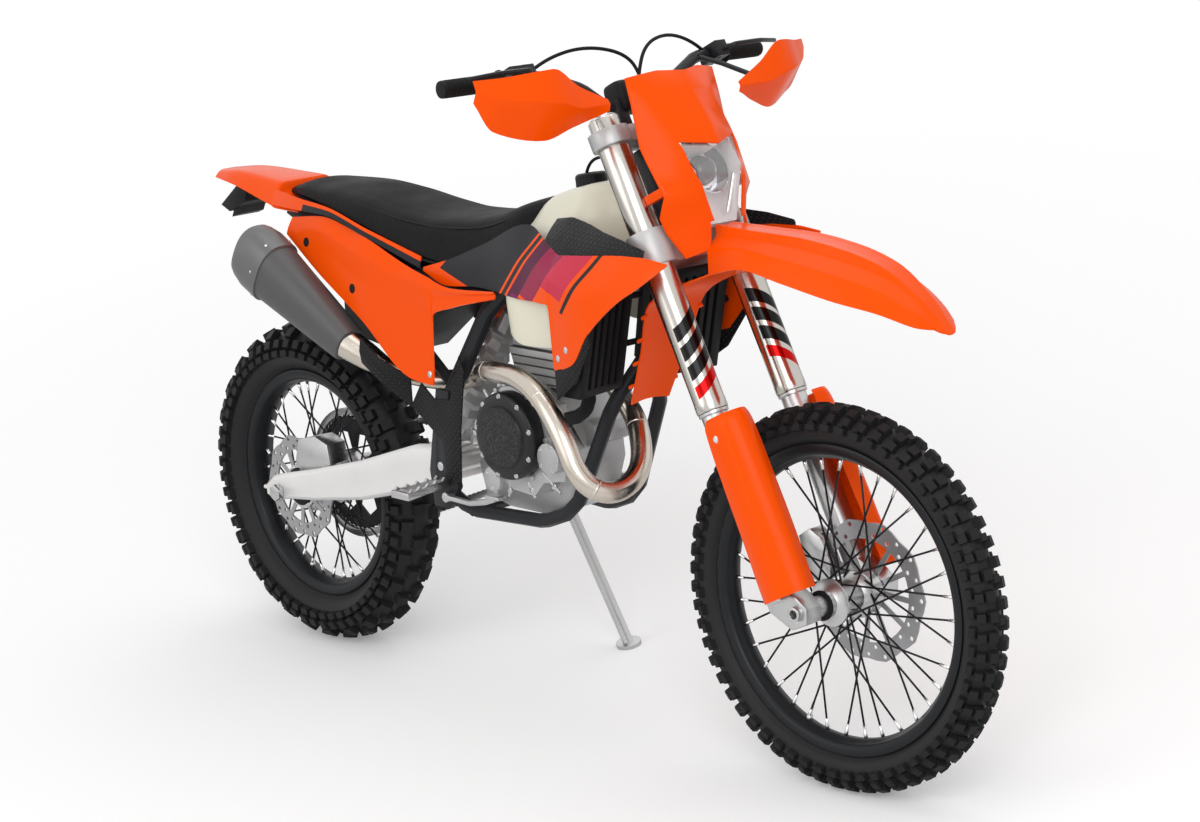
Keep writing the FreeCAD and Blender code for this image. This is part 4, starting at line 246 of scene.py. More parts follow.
def finish(name, colour, rough, metallic=0.0, grain=900.0, depth=0.0, tone=0.0, patches=9.0, coat=0.0,
           rough_play=0.0, shine=0.3):
    """A surface with a base colour, fine grain as bump, and slow patches of tone and of gloss."""
    material = bpy.data.materials.new(name)
    material.use_nodes = True
    tree = material.node_tree
    skin = tree.nodes["Principled BSDF"]
    for socket, value in (("Metallic", metallic), ("Roughness", rough), ("Base Color", (*colour, 1)),
                          ("Coat Weight", coat), ("Coat Roughness", 0.06), ("Specular IOR Level", shine)):
        skin.inputs[socket].default_value = value
    place = joined(tree, "ShaderNodeTexCoord").outputs["Object"]
    cloud = joined(tree, "ShaderNodeTexNoise", Vector=place, Scale=patches, Detail=4.0).outputs["Fac"]
    if tone:
        darker, lighter = ((*(min(1, c * (1 + way * tone)) for c in colour), 1) for way in (-1, 1))
        mix = joined(tree, "ShaderNodeMix", {"data_type": "RGBA"}, i0=cloud, A=darker, B=lighter)
        tree.links.new(mix.outputs["Result"], skin.inputs["Base Color"])
    if rough_play:
        spread = joined(tree, "ShaderNodeMapRange", Value=cloud, From_Min=0.3, From_Max=0.7,
                        To_Min=max(0.02, rough - rough_play), To_Max=rough + rough_play)
        tree.links.new(spread.outputs["Result"], skin.inputs["Roughness"])
    if depth:
        fine = joined(tree, "ShaderNodeTexNoise", Vector=place, Scale=grain, Detail=3.0)
        bump = joined(tree, "ShaderNodeBump", Height=fine.outputs["Fac"], Strength=depth, Distance=0.0006)
        tree.links.new(bump.outputs["Normal"], skin.inputs["Normal"])
    return material


tread_rubber = finish("tread_rubber", (0.015, 0.015, 0.016), 0.62, shine=0.18, grain=700, depth=0.5,
                      tone=0.25, rough_play=0.12)
sidewall_rubber = finish("sidewall_rubber", (0.018, 0.018, 0.019), 0.5, shine=0.2, grain=900, depth=0.25,
                         tone=0.2, rough_play=0.1)

# The tree that sets copies of a small part round the axle: each stands outward, and is tipped sideways.
ring_tree = bpy.data.node_groups.new("parts_round_an_axle", "GeometryNodeTree")
for label, kind in (("Part", "Geometry"), ("Count", "Int"), ("Hub radius", "Float"), ("Reach", "Float"),
                    ("Across", "Float"), ("Tip", "Float"), ("Start", "Float"), ("Finish", "Material")):
    ring_tree.interface.new_socket(label, in_out="INPUT", socket_type="NodeSocket" + kind)
ring_tree.interface.new_socket("Ring", in_out="OUTPUT", socket_type="NodeSocketGeometry")
given = {socket.name: Field(ring_tree, socket) for socket in ring_tree.nodes.new("NodeGroupInput").outputs}
index = Field(ring_tree, joined(ring_tree, "GeometryNodeInputIndex").outputs[0])
angle = (index + given["Start"]) * sum_of(ring_tree, "DIVIDE", math.tau, given["Count"])
tip = given["Tip"]
radius = given["Hub radius"] + given["Reach"] * sum_of(ring_tree, "COSINE", tip)
side = given["Across"] + given["Reach"] * sum_of(ring_tree, "SINE", tip)
spot = joined(ring_tree, "ShaderNodeCombineXYZ", X=radius * sum_of(ring_tree, "COSINE", angle),
              Y=side, Z=radius * sum_of(ring_tree, "SINE", angle))
facing = joined(ring_tree, "ShaderNodeCombineXYZ", X=tip * -1.0,
                Y=sum_of(ring_tree, "SUBTRACT", math.pi / 2, angle))
spots = joined(ring_tree, "GeometryNodeMeshLine", Count=given["Count"])
posed = joined(ring_tree, "GeometryNodeSetPosition", Geometry=spots.outputs[0], Position=spot.outputs[0])
copies = joined(ring_tree, "GeometryNodeInstanceOnPoints", Points=posed.outputs[0], Instance=given["Part"],
                Rotation=facing.outputs[0])
real = joined(ring_tree, "GeometryNodeRealizeInstances", Geometry=copies.outputs[0])
coated = joined(ring_tree, "GeometryNodeSetMaterial", Geometry=real.outputs[0], Material=given["Finish"])
ring_tree.links.new(coated.outputs[0], ring_tree.nodes.new("NodeGroupOutput").inputs[0])


def ring(mesh, centre, count, hub_radius=0, reach=0, across=0, tip=0, start=0, coat=tread_rubber):
    """Copies of a small mesh round an axle, made by the node tree from its named sizes."""
    sizes = {"Count": count, "Hub radius": float(hub_radius), "Reach": float(reach), "Across": float(across),
             "Tip": math.radians(tip), "Start": float(start), "Finish": coat}
    seed = linked(bpy.data.objects.new("seed", mesh))
    modifier = seed.modifiers.new("nodes", "NODES")
    modifier.node_group = ring_tree
    for socket in ring_tree.interface.items_tree:
        if socket.name in sizes:
            modifier[socket.identifier] = sizes[socket.name]
    bpy.context.view_layer.update()
    made = bpy.data.meshes.new_from_object(seed.evaluated_get(bpy.context.evaluated_depsgraph_get()))
    bpy.data.objects.remove(seed)
    made.transform(Matrix.Translation(centre))
    return made


def block(length, width, height, taper):
    """A moulded block, its foot sunk 3 mm, narrower at the top."""
    def level(share, z):
        a, b = length / 2 * share, width / 2 * share
        return [(-a, -b, z), (a, -b, z), (a, b, z), (-a, b, z)]
    return lofted([level(1, -3), level(1, 0), level(taper, height)])


def tyre_section(tip_radius, crown, lug, bead, flange, foot):
    """The carcass under the lugs, with a bead line, a rim guard and two raised rings on each sidewall."""
    equator, inner = tip_radius - crown, crown - lug
    half = [(bead, foot - 4), (flange - 1, foot), (flange + 4, foot + 2), (flange + 6, foot + 7)]
    for i in range(15):
        turn = math.pi / 2 * (1 - i / 14)
        reach = inner + (0.8 if i in (2, 5) else 0.0)
        half.append((equator + reach * math.cos(turn) - (6 if i == 0 else 0), reach * math.sin(turn)))
    return half + [(r, -y) for r, y in reversed(half[:-1])]


# A row of lugs on each side: length, width, height, taper, how many, how far across, tip, start, shift.
for wheel, centre, section, hub_radius, reach, rows in (
        ("front", FRONT_AXLE, (348, 46, 13, 267.5, 279, 20), 302, 32.4, (
            (21, 19, 12.6, 0.86, 30, 0.5, 25, 0, 0.12), (21, 19, 12.6, 0.86, 30, 0.5, 21, 0.5, 0.12),
            (17, 17, 12.6, 0.84, 60, 0, 52, 0, 0.25), (20, 14, 10.5, 0.8, 60, 0, 77, 0.25, 0.25),
            (15, 17, 12.6, 0.86, 30, 0, 0, 0.25, 0))),
        ("rear", REAR_AXLE, (340, 66, 16, 229.5, 241, 27), 274, 48.7, (
            (24, 24, 15.6, 0.87, 28, 0, 16, 0, 0.12), (24, 27, 15.6, 0.87, 28, 0, 40, 0.5, 0.1),
            (22, 20, 15.2, 0.84, 56, 0, 64, 0, 0.25), (25, 16, 13.5, 0.8, 56, 0, 84, 0.25, 0.25)))):
    body = wheel + "_wheel"
    placed(wheel + "_tyre_carcass", turned_profile(tyre_section(*section), centre), body, sidewall_rubber,
           "tyre_rubber", wheel + "_tyre", crease=None)
    lugs = []
    for length, width, height, taper, count, across, tip, start, shift in rows:
        for s in (-1, 1) if tip else (1,):
            lugs.append(ring(block(length, width, height, taper), centre, count, hub_radius, reach,
                             s * across, s * tip, start + shift * s))
    placed(wheel + "_tyre_lugs", merged(lugs), body, tread_rubber, "tyre_rubber", crease=None, smooth=False)

# Rims: black anodised extrusions with a deep well.
black_anodised = finish("black_anodised", (0.018, 0.019, 0.021), 0.34, metallic=0.4, shine=0.25, grain=1500,
                        depth=0.08, tone=0.15, rough_play=0.08)
bare_aluminium = finish("bare_aluminium", (0.58, 0.58, 0.58), 0.3, metallic=1.0, grain=1200, depth=0.12,
                        tone=0.08, rough_play=0.1)
for name, centre, bead, flange, half, inner, body in (
        ("front_rim", FRONT_AXLE, 267, 279, 24, 250, "front_wheel"),
        ("rear_rim", REAR_AXLE, 229, 241, 31, 211, "rear_wheel")):
    side = [(inner, 0), (inner + 0.6, half * 0.28), (inner + 5, half * 0.45), (inner + 7, half - 7),
            (bead - 7, half - 3), (bead - 3, half), (flange - 1.5, half), (flange, half - 0.8),
            (flange - 0.5, half - 3.2), (bead, half - 7), (bead - 9, half * 0.3)]
    profile = side + [(r, -y) for r, y in reversed(side[1:])]
    placed(name + "_ring", turned_profile(profile, centre), body, black_anodised, "black_rim", name,
           crease=None)

# Spokes and nipples: 36 black steel spokes a wheel, laced across, and silver nipples at the rim.
# Each rim has a rubber valve stem with a metal nut, which points at the hub.
black_wire = finish("black_wire", (0.02, 0.02, 0.022), 0.32, metallic=0.7, grain=2000, depth=0.05, tone=0.1)
nipple_plate = finish("nipple_plate", (0.78, 0.78, 0.78), 0.22, metallic=1.0, tone=0.05, grain=1500, depth=0.05)


def tube_mesh(route, radius, sides=16):
    """A round tube along a route of places, with mitred rings; radius is one number or one for each place."""
    route = [Vector(p) for p in route]
    count = len(route)
    radii = [radius] * count if isinstance(radius, (int, float)) else radius
    ahead = [(route[min(i + 1, count - 1)] - route[max(i - 1, 0)]).normalized() for i in range(count)]
    first = Vector((0, 1, 0)) if abs(ahead[0].y) < 0.8 else Vector((0, 0, 1))
    normal = (first - ahead[0] * first.dot(ahead[0])).normalized()
    rings = []
    for i, place in enumerate(route):
        if i:
            normal = (ahead[i - 1].rotation_difference(ahead[i]) @ normal).normalized()
        other = ahead[i].cross(normal)
        rings.append([place + (normal * math.cos(t) + other * math.sin(t)) * radii[i] for t in turns(sides)])
    return lofted(rings)


LACED = 9
for wheel, centre, hub_radius, hub_half, rim_radius in (("front", FRONT_AXLE, 37, 34, 250),
                                                        ("rear", REAR_AXLE, 52, 38, 211)):
    body = wheel + "_wheel"
    wires, nipples = [], []
    for s in (-1, 1):
        for lead in (-1, 1):
            bend = math.radians(62) * lead
            at_hub = Vector((hub_radius * math.sin(bend), s * (hub_half + lead * 2.5),
                             hub_radius * math.cos(bend)))
            at_rim = Vector((0, s * 2, rim_radius - 9))
            run = (at_rim - at_hub).normalized()
            start = 0.25 + 0.5 * (s > 0) + 0.25 * (lead > 0)
            wires.append(ring(tube_mesh([at_hub, at_rim], 1.9, 8), centre, LACED, start=start, coat=black_wire))
            nipple = tube_mesh([at_rim - run * 12, at_rim - run * 2, at_rim, at_rim + run * 10],
                               [2.9, 2.9, 3.6, 3.6], 8)
            nipples.append(ring(nipple, centre, LACED, start=start, coat=nipple_plate))
    placed(wheel + "_spokes", merged(wires), body, black_wire, "black_rim", crease=None)
    placed(wheel + "_nipples", merged(nipples), body, nipple_plate, "silver_metal", crease=None)
    way = Vector((math.sin(math.radians(20)), 0, math.cos(math.radians(20))))
    stem = tube_mesh([centre - way * (rim_radius + r) for r in (3, -7, -8, -33)], [6.5, 5.5, 3.2, 3.0])
    placed(wheel + "_valve_stem", stem, body, bare_aluminium, "silver_metal", crease=None)

# Hubs: machined aluminium, a barrel between two spoke flanges, with rubber seals over the bearings.
black_rubber = finish("black_rubber", (0.011, 0.011, 0.012), 0.6, grain=1300, depth=0.25, tone=0.2, shine=0.14,
                      rough_play=0.1)


def reworked(mesh, *changes):
    """The mesh after some changes to its faces, turned outwards."""
    work = bmesh.new()
    work.from_mesh(mesh)
    for change in changes:
        change(work)
    bmesh.ops.recalc_face_normals(work, faces=work.faces)
    work.to_mesh(mesh)
    work.free()
    return mesh


def spun(profile, foot, way, steps=32, wave=0.0, lobes=1):
    """A profile of (radius, height) turned about an axis that stands on a foot; the rim may be waved."""
    way = way.normalized()
    side = way.orthogonal().normalized()
    other = way.cross(side)
    rings = []
    for radius, height in profile:
        rings.append([foot + way * height + (side * math.cos(turn) + other * math.sin(turn))
                      * (radius * (1 + wave * math.cos(lobes * turn))) for turn in turns(steps)])
    return reworked(lofted(rings))


for wheel, centre, half, bore, seals in (
        ("front", FRONT_AXLE, [
            (15, -84), (19, -84), (19, -60), (22, -58), (24, -46), (33, -39), (42, -38), (43, -36), (42, -32),
            (34, -30), (27, -24), (24, 0), (27, 24), (34, 30), (42, 32), (43, 36), (42, 38), (40, 42), (40, 62),
            (38, 63.5), (24, 64), (19, 66), (19, 84), (15, 84)], 13.6, ((-61, 27), (65, 34))),
        ("rear", REAR_AXLE, [
            (16, -92), (22, -92), (22, -68), (46, -66), (46, -58), (44, -54), (40, -46), (57, -42), (58, -38),
            (57, -34), (44, -31), (34, -24), (31, 0), (34, 24), (44, 31), (57, 34), (58, 38), (57, 42),
            (48, 46), (52, 60), (52, 74), (50, 77), (30, 78), (22, 80), (22, 92), (16, 92)], 13.2,
         ((-69, 40), (81, 28)))):
    body = wheel + "_wheel"
    profile = half + [(bore, half[-1][1]), (bore, half[0][1])]
    placed(wheel + "_hub_turned", reworked(turned_profile(profile, centre, 72)), body, bare_aluminium,
           "silver_metal", wheel + "_hub")
    rings = [spun([(20, -2), (wide, -2), (wide, 0.5), (wide - 2, 1.6), (21, 1.6), (20, 0.5)],
                  centre + Vector((0, y, 0)), Vector((0, y, 0)), 48) for y, wide in seals]
    placed(body + "_bearing_seals", merged(rings), body, black_rubber, "black_rubber")

# Brake discs: ground steel with a waved edge and rows of round holes, on arms from the hub.
ground_steel = finish("ground_steel", (0.62, 0.62, 0.63), 0.26, metallic=1.0, grain=2600, depth=0.12, tone=0.1,
                      rough_play=0.08)
disc_steel = finish("disc_steel", (0.40, 0.40, 0.41), 0.38, metallic=0.85, tone=0.06, rough_play=0.04)
DISC_WAVE, DISC_WAVES, DISC_THICK, DISC_CELLS, DISC_ROWS, DISC_HOLE = 7, 10, 3.5, 20, 2, 4.6


def screw(place, way, radius=5.0, height=3.5):
    """A flanged screw with a six-sided head, standing on a surface."""
    flange = spun([(radius * 1.3, -1.5), (radius * 1.3, 0.8), (radius * 1.1, 1.4)], place, way, 20)
    head = spun([(radius, 0.5), (radius, height - 0.8), (radius * 0.85, height)], place, way, 6)
    return merged([flange, head])


def screw_circle(centre, reach, count, way, radius, height=3.5, start=0.0):
    """Even screws on a circle that faces across the machine."""
    spots = [centre + Vector((reach * math.cos(turn), 0, reach * math.sin(turn)))
             for turn in (math.tau * (i + start) / count for i in range(count))]
    return [screw(spot, way, radius, height) for spot in spots]


def holed_band(centre, inner, outer, y):
    """A flat ring with rows of round holes, and a waved outer edge."""
    corners, faces = [], []
    turn = math.tau / DISC_CELLS

    def spot(radius, angle, across):
        grow = (radius - inner) / (outer - inner)
        radius -= DISC_WAVE * grow * (1 - math.cos(DISC_WAVES * angle)) / 2
        return centre + Vector((radius * math.cos(angle), across, radius * math.sin(angle)))
    for row in range(DISC_ROWS):
        low, high = (inner + (outer - inner) * (row + step) / DISC_ROWS for step in (0, 1))
        for cell in range(DISC_CELLS):
            at = cell * turn + (turn / 2 if row % 2 else 0)
            middle, radius = at + turn / 2, (low + high) / 2
            edge = [(low, at), (low, middle), (low, at + turn), (radius, at + turn), (high, at + turn),
                    (high, middle), (high, at), (radius, at)]
            hole = []
            for k in range(8):
                a = -math.pi * 3 / 4 + k * math.pi / 4
                hole.append((radius + DISC_HOLE * math.sin(a), middle + DISC_HOLE * math.cos(a) / radius))
            start = len(corners)
            for across in (y, y + DISC_THICK):
                corners += [spot(r, a, across) for r, a in edge + hole]
            for k in range(8):
                for one, two in ((0, 8), (24, 16), (8, 24)):
                    j = (k + 1) % 8
                    faces.append((start + one + k, start + one + j, start + two + j, start + two + k))
            for k in ((0, 1) if row == 0 else ()) + ((4, 5) if row == DISC_ROWS - 1 else ()):
                faces.append((start + 16 + k, start + 17 + k, start + 1 + k, start + k))
    return reworked(mesh_of(corners, faces),
                    lambda work: bmesh.ops.remove_doubles(work, verts=work.verts, dist=0.02))


for wheel, centre, y, inner, outer, carrier in (("front", FRONT_AXLE, 64.2, 94, 130, 36),
                                                ("rear", REAR_AXLE, -66, 78, 110, 40)):
    name, body, out = wheel + "_disc", wheel + "_wheel", math.copysign(1, y)
    arm = reworked(lofted([
        [(-5, level, carrier), (5, level, carrier), (9, level, inner + 1), (-1, level, inner + 1)]
        for level in (y + 0.4, y + 3.1)]))
    middle = turned_profile([(carrier + r, y + across) for r, across in (
        (-9, 0.3), (3, 0.3), (3, 3.2), (-9, 3.2))], centre, 72)
    plate = merged([holed_band(centre, inner, outer, y), reworked(middle),
                    ring(arm, centre, 12, coat=disc_steel)])
    placed(name + "_plate", plate, body, disc_steel, "disc_steel", name)
    foot = centre + Vector((0, y + (DISC_THICK if out > 0 else 0), 0))
    placed(name + "_screws", merged(screw_circle(foot, carrier, 6, Vector((0, out, 0)), 4.5)), body,
           ground_steel, "silver_metal")

# Cast, pressed and moulded pieces keep the outline that the maker's drawing gives them. Their edges are
# broken by a small radius, and each is given the surface it has on the machine.
ORANGE = (1.0, 0.088, 0.0)
cast_metal = finish("cast_metal", (0.50, 0.50, 0.50), 0.38, metallic=0.55, grain=900, depth=0.5, tone=0.2,
                    rough_play=0.1)
bright_aluminium = finish("bright_aluminium", (0.86, 0.85, 0.84), 0.36, metallic=0.6, grain=1200, depth=0.08,
                          tone=0.05, rough_play=0.08)
charcoal_coat = finish("charcoal_coat", (0.020, 0.021, 0.024), 0.38, grain=1500, depth=0.12, tone=0.12,
                       shine=0.2, rough_play=0.08)
black_plastic = finish("black_plastic", (0.012, 0.012, 0.013), 0.45, grain=1800, depth=0.3, tone=0.15,
                       shine=0.14, rough_play=0.1)
orange_gloss = finish("orange_gloss", ORANGE, 0.24, shine=0.1, grain=500, depth=0.02, tone=0.03,
                      rough_play=0.04)
chain_metal = finish("chain_metal", (0.42, 0.42, 0.43), 0.32, metallic=1.0, grain=2500, depth=0.1, tone=0.2,
                     rough_play=0.12)


def drawn(material, body="chassis"):
    """How far ahead, across and up each spot is on the upright machine, in millimetres, inside a material."""
    tree = material.node_tree
    place = joined(tree, "ShaderNodeTexCoord").outputs["Object"]
    home = standing[body].inverted()
    dots = [joined(tree, "ShaderNodeVectorMath", {"operation": "DOT_PRODUCT"}, i0=place, i1=tuple(row[:3]))
            for row in home[:3]]
    return [Field(tree, dot.outputs["Value"]) + row[3] for dot, row in zip(dots, home)]


def ramp(value, low, high, start=0.0, end=1.0):
    """A value that runs from 0 below low to 1 above high."""
    node = joined(value.tree, "ShaderNodeMapRange", Value=value, From_Min=low, From_Max=high, To_Min=start,
                  To_Max=end)
    return Field(value.tree, node.outputs["Result"])


def band(value, low, high, soft=0.5):
    """1 between low and high, 0 elsewhere."""
    return ramp(value, low - soft, low + soft) * ramp(value, high - soft, high + soft, 1.0, 0.0)


def painted_over(material, mask, colour):
    """Lays a colour over a finish where the mask is 1."""
    tree = material.node_tree
    socket = tree.nodes["Principled BSDF"].inputs["Base Color"]
    under = socket.links[0].from_socket if socket.is_linked else tuple(socket.default_value)
    mix = joined(tree, "ShaderNodeMix", {"data_type": "RGBA"}, i0=mask, A=under, B=(*colour, 1))
    tree.links.new(mix.outputs["Result"], socket)


def embossed(material, height, strength, depth):
    """Raises a finish where the height is 1."""
    tree = material.node_tree
    socket = tree.nodes["Principled BSDF"].inputs["Normal"]
    bump = joined(tree, "ShaderNodeBump", Height=height, Strength=strength, Distance=depth)
    if socket.is_linked:
        tree.links.new(socket.links[0].from_socket, bump.inputs["Normal"])
    tree.links.new(bump.outputs["Normal"], socket)


ridged_plastic = finish("ridged_plastic", (0.012, 0.012, 0.013), 0.45, tone=0.15, rough_play=0.1, shine=0.16)
ahead, across, up = drawn(ridged_plastic)
studs = (sum_of(ahead.tree, "PINGPONG", ahead + up, 7.0) + sum_of(ahead.tree, "PINGPONG", ahead - up, 7.0))
embossed(ridged_plastic, ramp(studs, 8.5, 13.5), 1.0, 0.0022)
# The tops of the raised studs are also painted lighter: painted highlights.
painted_over(ridged_plastic, ramp(studs, 11.0, 12.5), (0.05, 0.05, 0.052))
cylinder_metal = finish("cylinder_metal", (0.50, 0.50, 0.50), 0.38, metallic=0.55, tone=0.15, rough_play=0.08)
# Level grooves run round the cylinder as bump, and each groove is painted dark as painted shade.
fins = sum_of(cylinder_metal.node_tree, "PINGPONG", drawn(cylinder_metal)[2], 8.0)
embossed(cylinder_metal, ramp(fins, 0.6, 2.0), 1.0, 0.003)
painted_over(cylinder_metal, ramp(fins, 0.6, 2.0, 1.0, 0.0), (0.10, 0.10, 0.10))


def dressed(node, coat, slot, body, edge):
    """A finished piece on the CAD node's own outline: seams closed, flats joined, edges broken by a radius."""
    crease = 34

    def rounded(work):
        bmesh.ops.remove_doubles(work, verts=work.verts, dist=2e-5)
        bmesh.ops.dissolve_limit(work, angle_limit=math.radians(0.6), verts=work.verts, edges=work.edges)
        bmesh.ops.recalc_face_normals(work, faces=work.faces)
        sharp = [e for e in work.edges if len(e.link_faces) == 2 and e.calc_face_angle() > math.radians(crease)]
        bmesh.ops.bevel(work, geom=sharp, offset=edge / 1000, segments=2, profile=0.5, affect="EDGES",
                        clamp_overlap=True, harden_normals=False)
    mesh = reworked(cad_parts[node].data.copy(), rounded)
    return finished(node + "_finished", mesh, body, coat, slot, node, crease)


for node, coat, slot, edge in (
        ("main_frame", charcoal_coat, "frame_paint", 0.5),
        ("subframe", charcoal_coat, "frame_paint", 0.5),
        ("swingarm", bright_aluminium, "silver_metal", 0.8),
        ("shock_absorber", cast_metal, "shock_parts", 0.5),
        ("pivot_bolt", ground_steel, "silver_metal", 0.5),
        ("frame_guards", ridged_plastic, "black_plastic", 1.0),
        ("engine_case", cast_metal, "engine_metal", 1.0),
        ("cylinder", cylinder_metal, "engine_metal", 1.0),
        ("ignition_cover", black_plastic, "black_plastic", 0.8),
        ("airbox", black_plastic, "black_plastic", 1.5),
        ("radiators", black_plastic, "black_plastic", 0.4),
        ("coolant_hose", black_rubber, "black_rubber", 0.5),
        ("foot_controls", bare_aluminium, "silver_metal", 0.5),
        ("footpegs", bare_aluminium, "silver_metal", 0.4),
        ("rear_caliper", bare_aluminium, "silver_metal", 1.0),
        ("shroud_caps", ridged_plastic, "black_plastic", 0.6),
        ("tail_lamp", black_plastic, "black_plastic", 0.8),
        ("chain", chain_metal, "chain_steel", 0.3),
        ("drive_sprocket", ground_steel, "silver_metal", 0.3),
        ("rear_axle", bare_aluminium, "silver_metal", 0.5)):
    dressed(node, coat, slot, "chassis", edge)
dressed("side_stand", bare_aluminium, "silver_metal", "side_stand", 0.6)
dressed("rear_sprocket", black_anodised, "black_metal", "rear_wheel", 0.3)
for node, coat, slot, edge in (
        ("triple_clamps", cast_metal, "silver_metal", 0.8),
        ("front_axle", bare_aluminium, "silver_metal", 0.5),
        ("fork_inner_tubes", bare_aluminium, "silver_metal", 0.6),
        ("handlebar", charcoal_coat, "black_metal", 0.5),
        ("headlamp_mask", orange_gloss, "orange_plastic", 0.9),
        ("front_caliper", bare_aluminium, "silver_metal", 1.0),
        ("control_levers", black_anodised, "black_metal", 0.4)):
    dressed(node, coat, slot, "steering", edge)


def plate_holder_cut(work):
    """Takes off the tail lamp's plate holder below its lamp, and closes the cut."""
    way = (parked.to_3x3() @ Vector((-0.35, 0, 1))).normalized()
    cut = bmesh.ops.bisect_plane(work, geom=work.verts[:] + work.edges[:] + work.faces[:], dist=1e-6,
                                 plane_co=parked @ Vector((-220, 0, 884)), plane_no=way, clear_inner=True)
    bmesh.ops.holes_fill(work, edges=[e for e in cut["geom_cut"] if isinstance(e, bmesh.types.BMEdge)])


reworked(bpy.data.objects["tail_lamp_finished"].data, plate_holder_cut)

# The mask is dipped a little in the middle of its top edge.
MASK_TOP, MASK_DIP_FROM, MASK_DIP_HALF, MASK_DIP_LEFT = 977.0, 946, 53, 0.62
for corner in bpy.data.objects["headlamp_mask_finished"].data.vertices:
    place = turned.inverted() @ corner.co
    rise = (place - FORK_FOOT).dot(FORK_UP)
    if rise > MASK_DIP_FROM and abs(place.y) < MASK_DIP_HALF:
        corner.co = turned @ (place + FORK_UP * (MASK_TOP - rise) * MASK_DIP_LEFT)

# Exhaust: a titanium pipe bent round the engine with weld seams, and a dark oval muffler with a riveted end
# cap.
titanium = finish("titanium", (0.62, 0.56, 0.49), 0.24, metallic=1.0, grain=1600, depth=0.06, tone=0.14,
                  rough_play=0.08, patches=16)
dark_muffler = finish("dark_muffler", (0.105, 0.105, 0.107), 0.44, metallic=0.35, grain=2200, depth=0.15,
                      tone=0.1, rough_play=0.1)
cap_metal = finish("muffler_cap", (0.17, 0.17, 0.172), 0.38, metallic=0.5, grain=1800, depth=0.12, tone=0.08,
                   rough_play=0.08)


def smooth_route(places, rounds=3):
    """The route with its corners cut, again and again, so that it bends evenly."""
    route = [Vector(p) for p in places]
    for _ in range(rounds):
        cut = [route[0]]
        for a, b in zip(route, route[1:]):
            cut += [a.lerp(b, 0.25), a.lerp(b, 0.75)]
        route = cut + [route[-1]]
    return route


def bulged(share, power):
    """A cosine or sine raised to a power, with its sign kept."""
    return math.copysign(abs(share) ** power, share)


def oval(centre, half_wide, half_high, steps=40, power=2.6):
    """An oval ring about the muffler's line, flatter on its sides than a circle."""
    up = Vector((0, 1, 0)).cross(can_way).normalized()
    return [centre + Vector((0, half_wide * bulged(math.cos(turn), 2 / power), 0))
            + up * half_high * bulged(math.sin(turn), 2 / power) for turn in turns(steps)]


pipe_line = smooth_route([
    (875, 0, 700), (945, -4, 650), (1010, -20, 596), (1068, -72, 528), (1074, -150, 500), (1040, -200, 530),
    (1002, -200, 610), (940, -190, 672), (850, -168, 698), (745, -142, 690), (676, -104, 676), (612, -59, 652),
    (548, -62, 634), (478, -78, 630), (398, -126, 652)])
can_front, can_rear = Vector((322, -153, 694)), Vector((73, -169, 844))
can_way = (can_rear - can_front).normalized()
link_line = [pipe_line[-1], pipe_line[-1].lerp(can_front, 0.5), can_front + can_way * 4]
pieces = [tube_mesh(pipe_line, 20, 28), tube_mesh(link_line, [20, 27, 31], 28)]
for share in (0.16, 0.34, 0.5, 0.66, 0.82):
    i = round(share * (len(pipe_line) - 1))
    pieces.append(spun([(20, -2.2), (20.7, -1.4), (20.9, 0), (20.7, 1.4), (20, 2.2)], pipe_line[i],
                       pipe_line[i + 1] - pipe_line[i], 28))
placed("exhaust_pipe", merged(pieces), "chassis", titanium, "exhaust_steel", "exhaust_header")
can = [oval(can_front + can_way * way, wide, high) for way, wide, high in (
    (-2, 29, 32), (0, 32, 36), (6, 33, 37.5))]
can += [oval(can_front.lerp(can_rear, s), 33 + 16 * s, 37.5 + 31 * s) for s in (0.25, 0.5, 0.75, 0.86)]
placed("muffler_body", reworked(lofted(can)), "chassis", dark_muffler, "muffler_finish", "muffler")
cap_start = can_front.lerp(can_rear, 0.84)
cap = [oval(cap_start, 48.5, 67), oval(cap_start + can_way, 49.5, 68.5)]
cap += [oval(can_rear + can_way * way, wide, high) for way, wide, high in (
    (0, 50, 69), (26, 46.5, 64), (37, 43, 60), (39, 40, 57), (34, 24, 24), (20, 21, 21))]
placed("muffler_end_cap", reworked(lofted(cap)), "chassis", cap_metal, "muffler_finish")
placed("muffler_outlet", spun([(21, -24), (21, -1), (19, 0), (17, -1), (16.5, -22)], can_rear + can_way * 42,
                              can_way, 28), "chassis", black_plastic, "muffler_finish")
spot = can_front.lerp(can_rear, 0.9)
rivets = [spun([(3.2, -1.5), (3.0, 0.8), (1.8, 1.6)], place, place - spot, 10)
          for place in oval(spot, 49.6, 68.6, 6)]
placed("muffler_rivets", merged(rivets), "chassis", ground_steel, "silver_metal")

# Engine covers: a round black clutch cover held by screws, and small covers for the pump and the filter.
# Short webs stiffen the case round them.
clutch_face = finish("clutch_face", (0.014, 0.014, 0.015), 0.34, tone=0.15, rough_play=0.1)
CLUTCH = Vector((762, -112.3, 566))
RIGHT = Vector((0, -1, 0))
ahead, across, up = drawn(clutch_face)
ahead, up = ahead - CLUTCH.x, up - CLUTCH.z
flat = joined(ahead.tree, "ShaderNodeCombineXYZ", X=ahead, Y=up)
facets = joined(ahead.tree, "ShaderNodeTexVoronoi", {"feature": "DISTANCE_TO_EDGE"}, Vector=flat.outputs[0],
                Scale=0.11)
far = sum_of(ahead.tree, "SQRT", ahead * ahead + up * up)
seams = ramp(Field(ahead.tree, facets.outputs["Distance"]), 0.0, 0.16)
embossed(clutch_face, seams * ramp(far, 56, 57, 1.0, 0.0), 0.7, 0.0016)
cover = spun([(84, 0), (84, 20), (83, 25), (79, 29.5), (72, 31.5), (60, 32), (58.5, 35), (57, 37), (20, 38)],
             CLUTCH, RIGHT, 72)
placed("clutch_cover_face", cover, "chassis", clutch_face, "black_plastic", "clutch_cover")
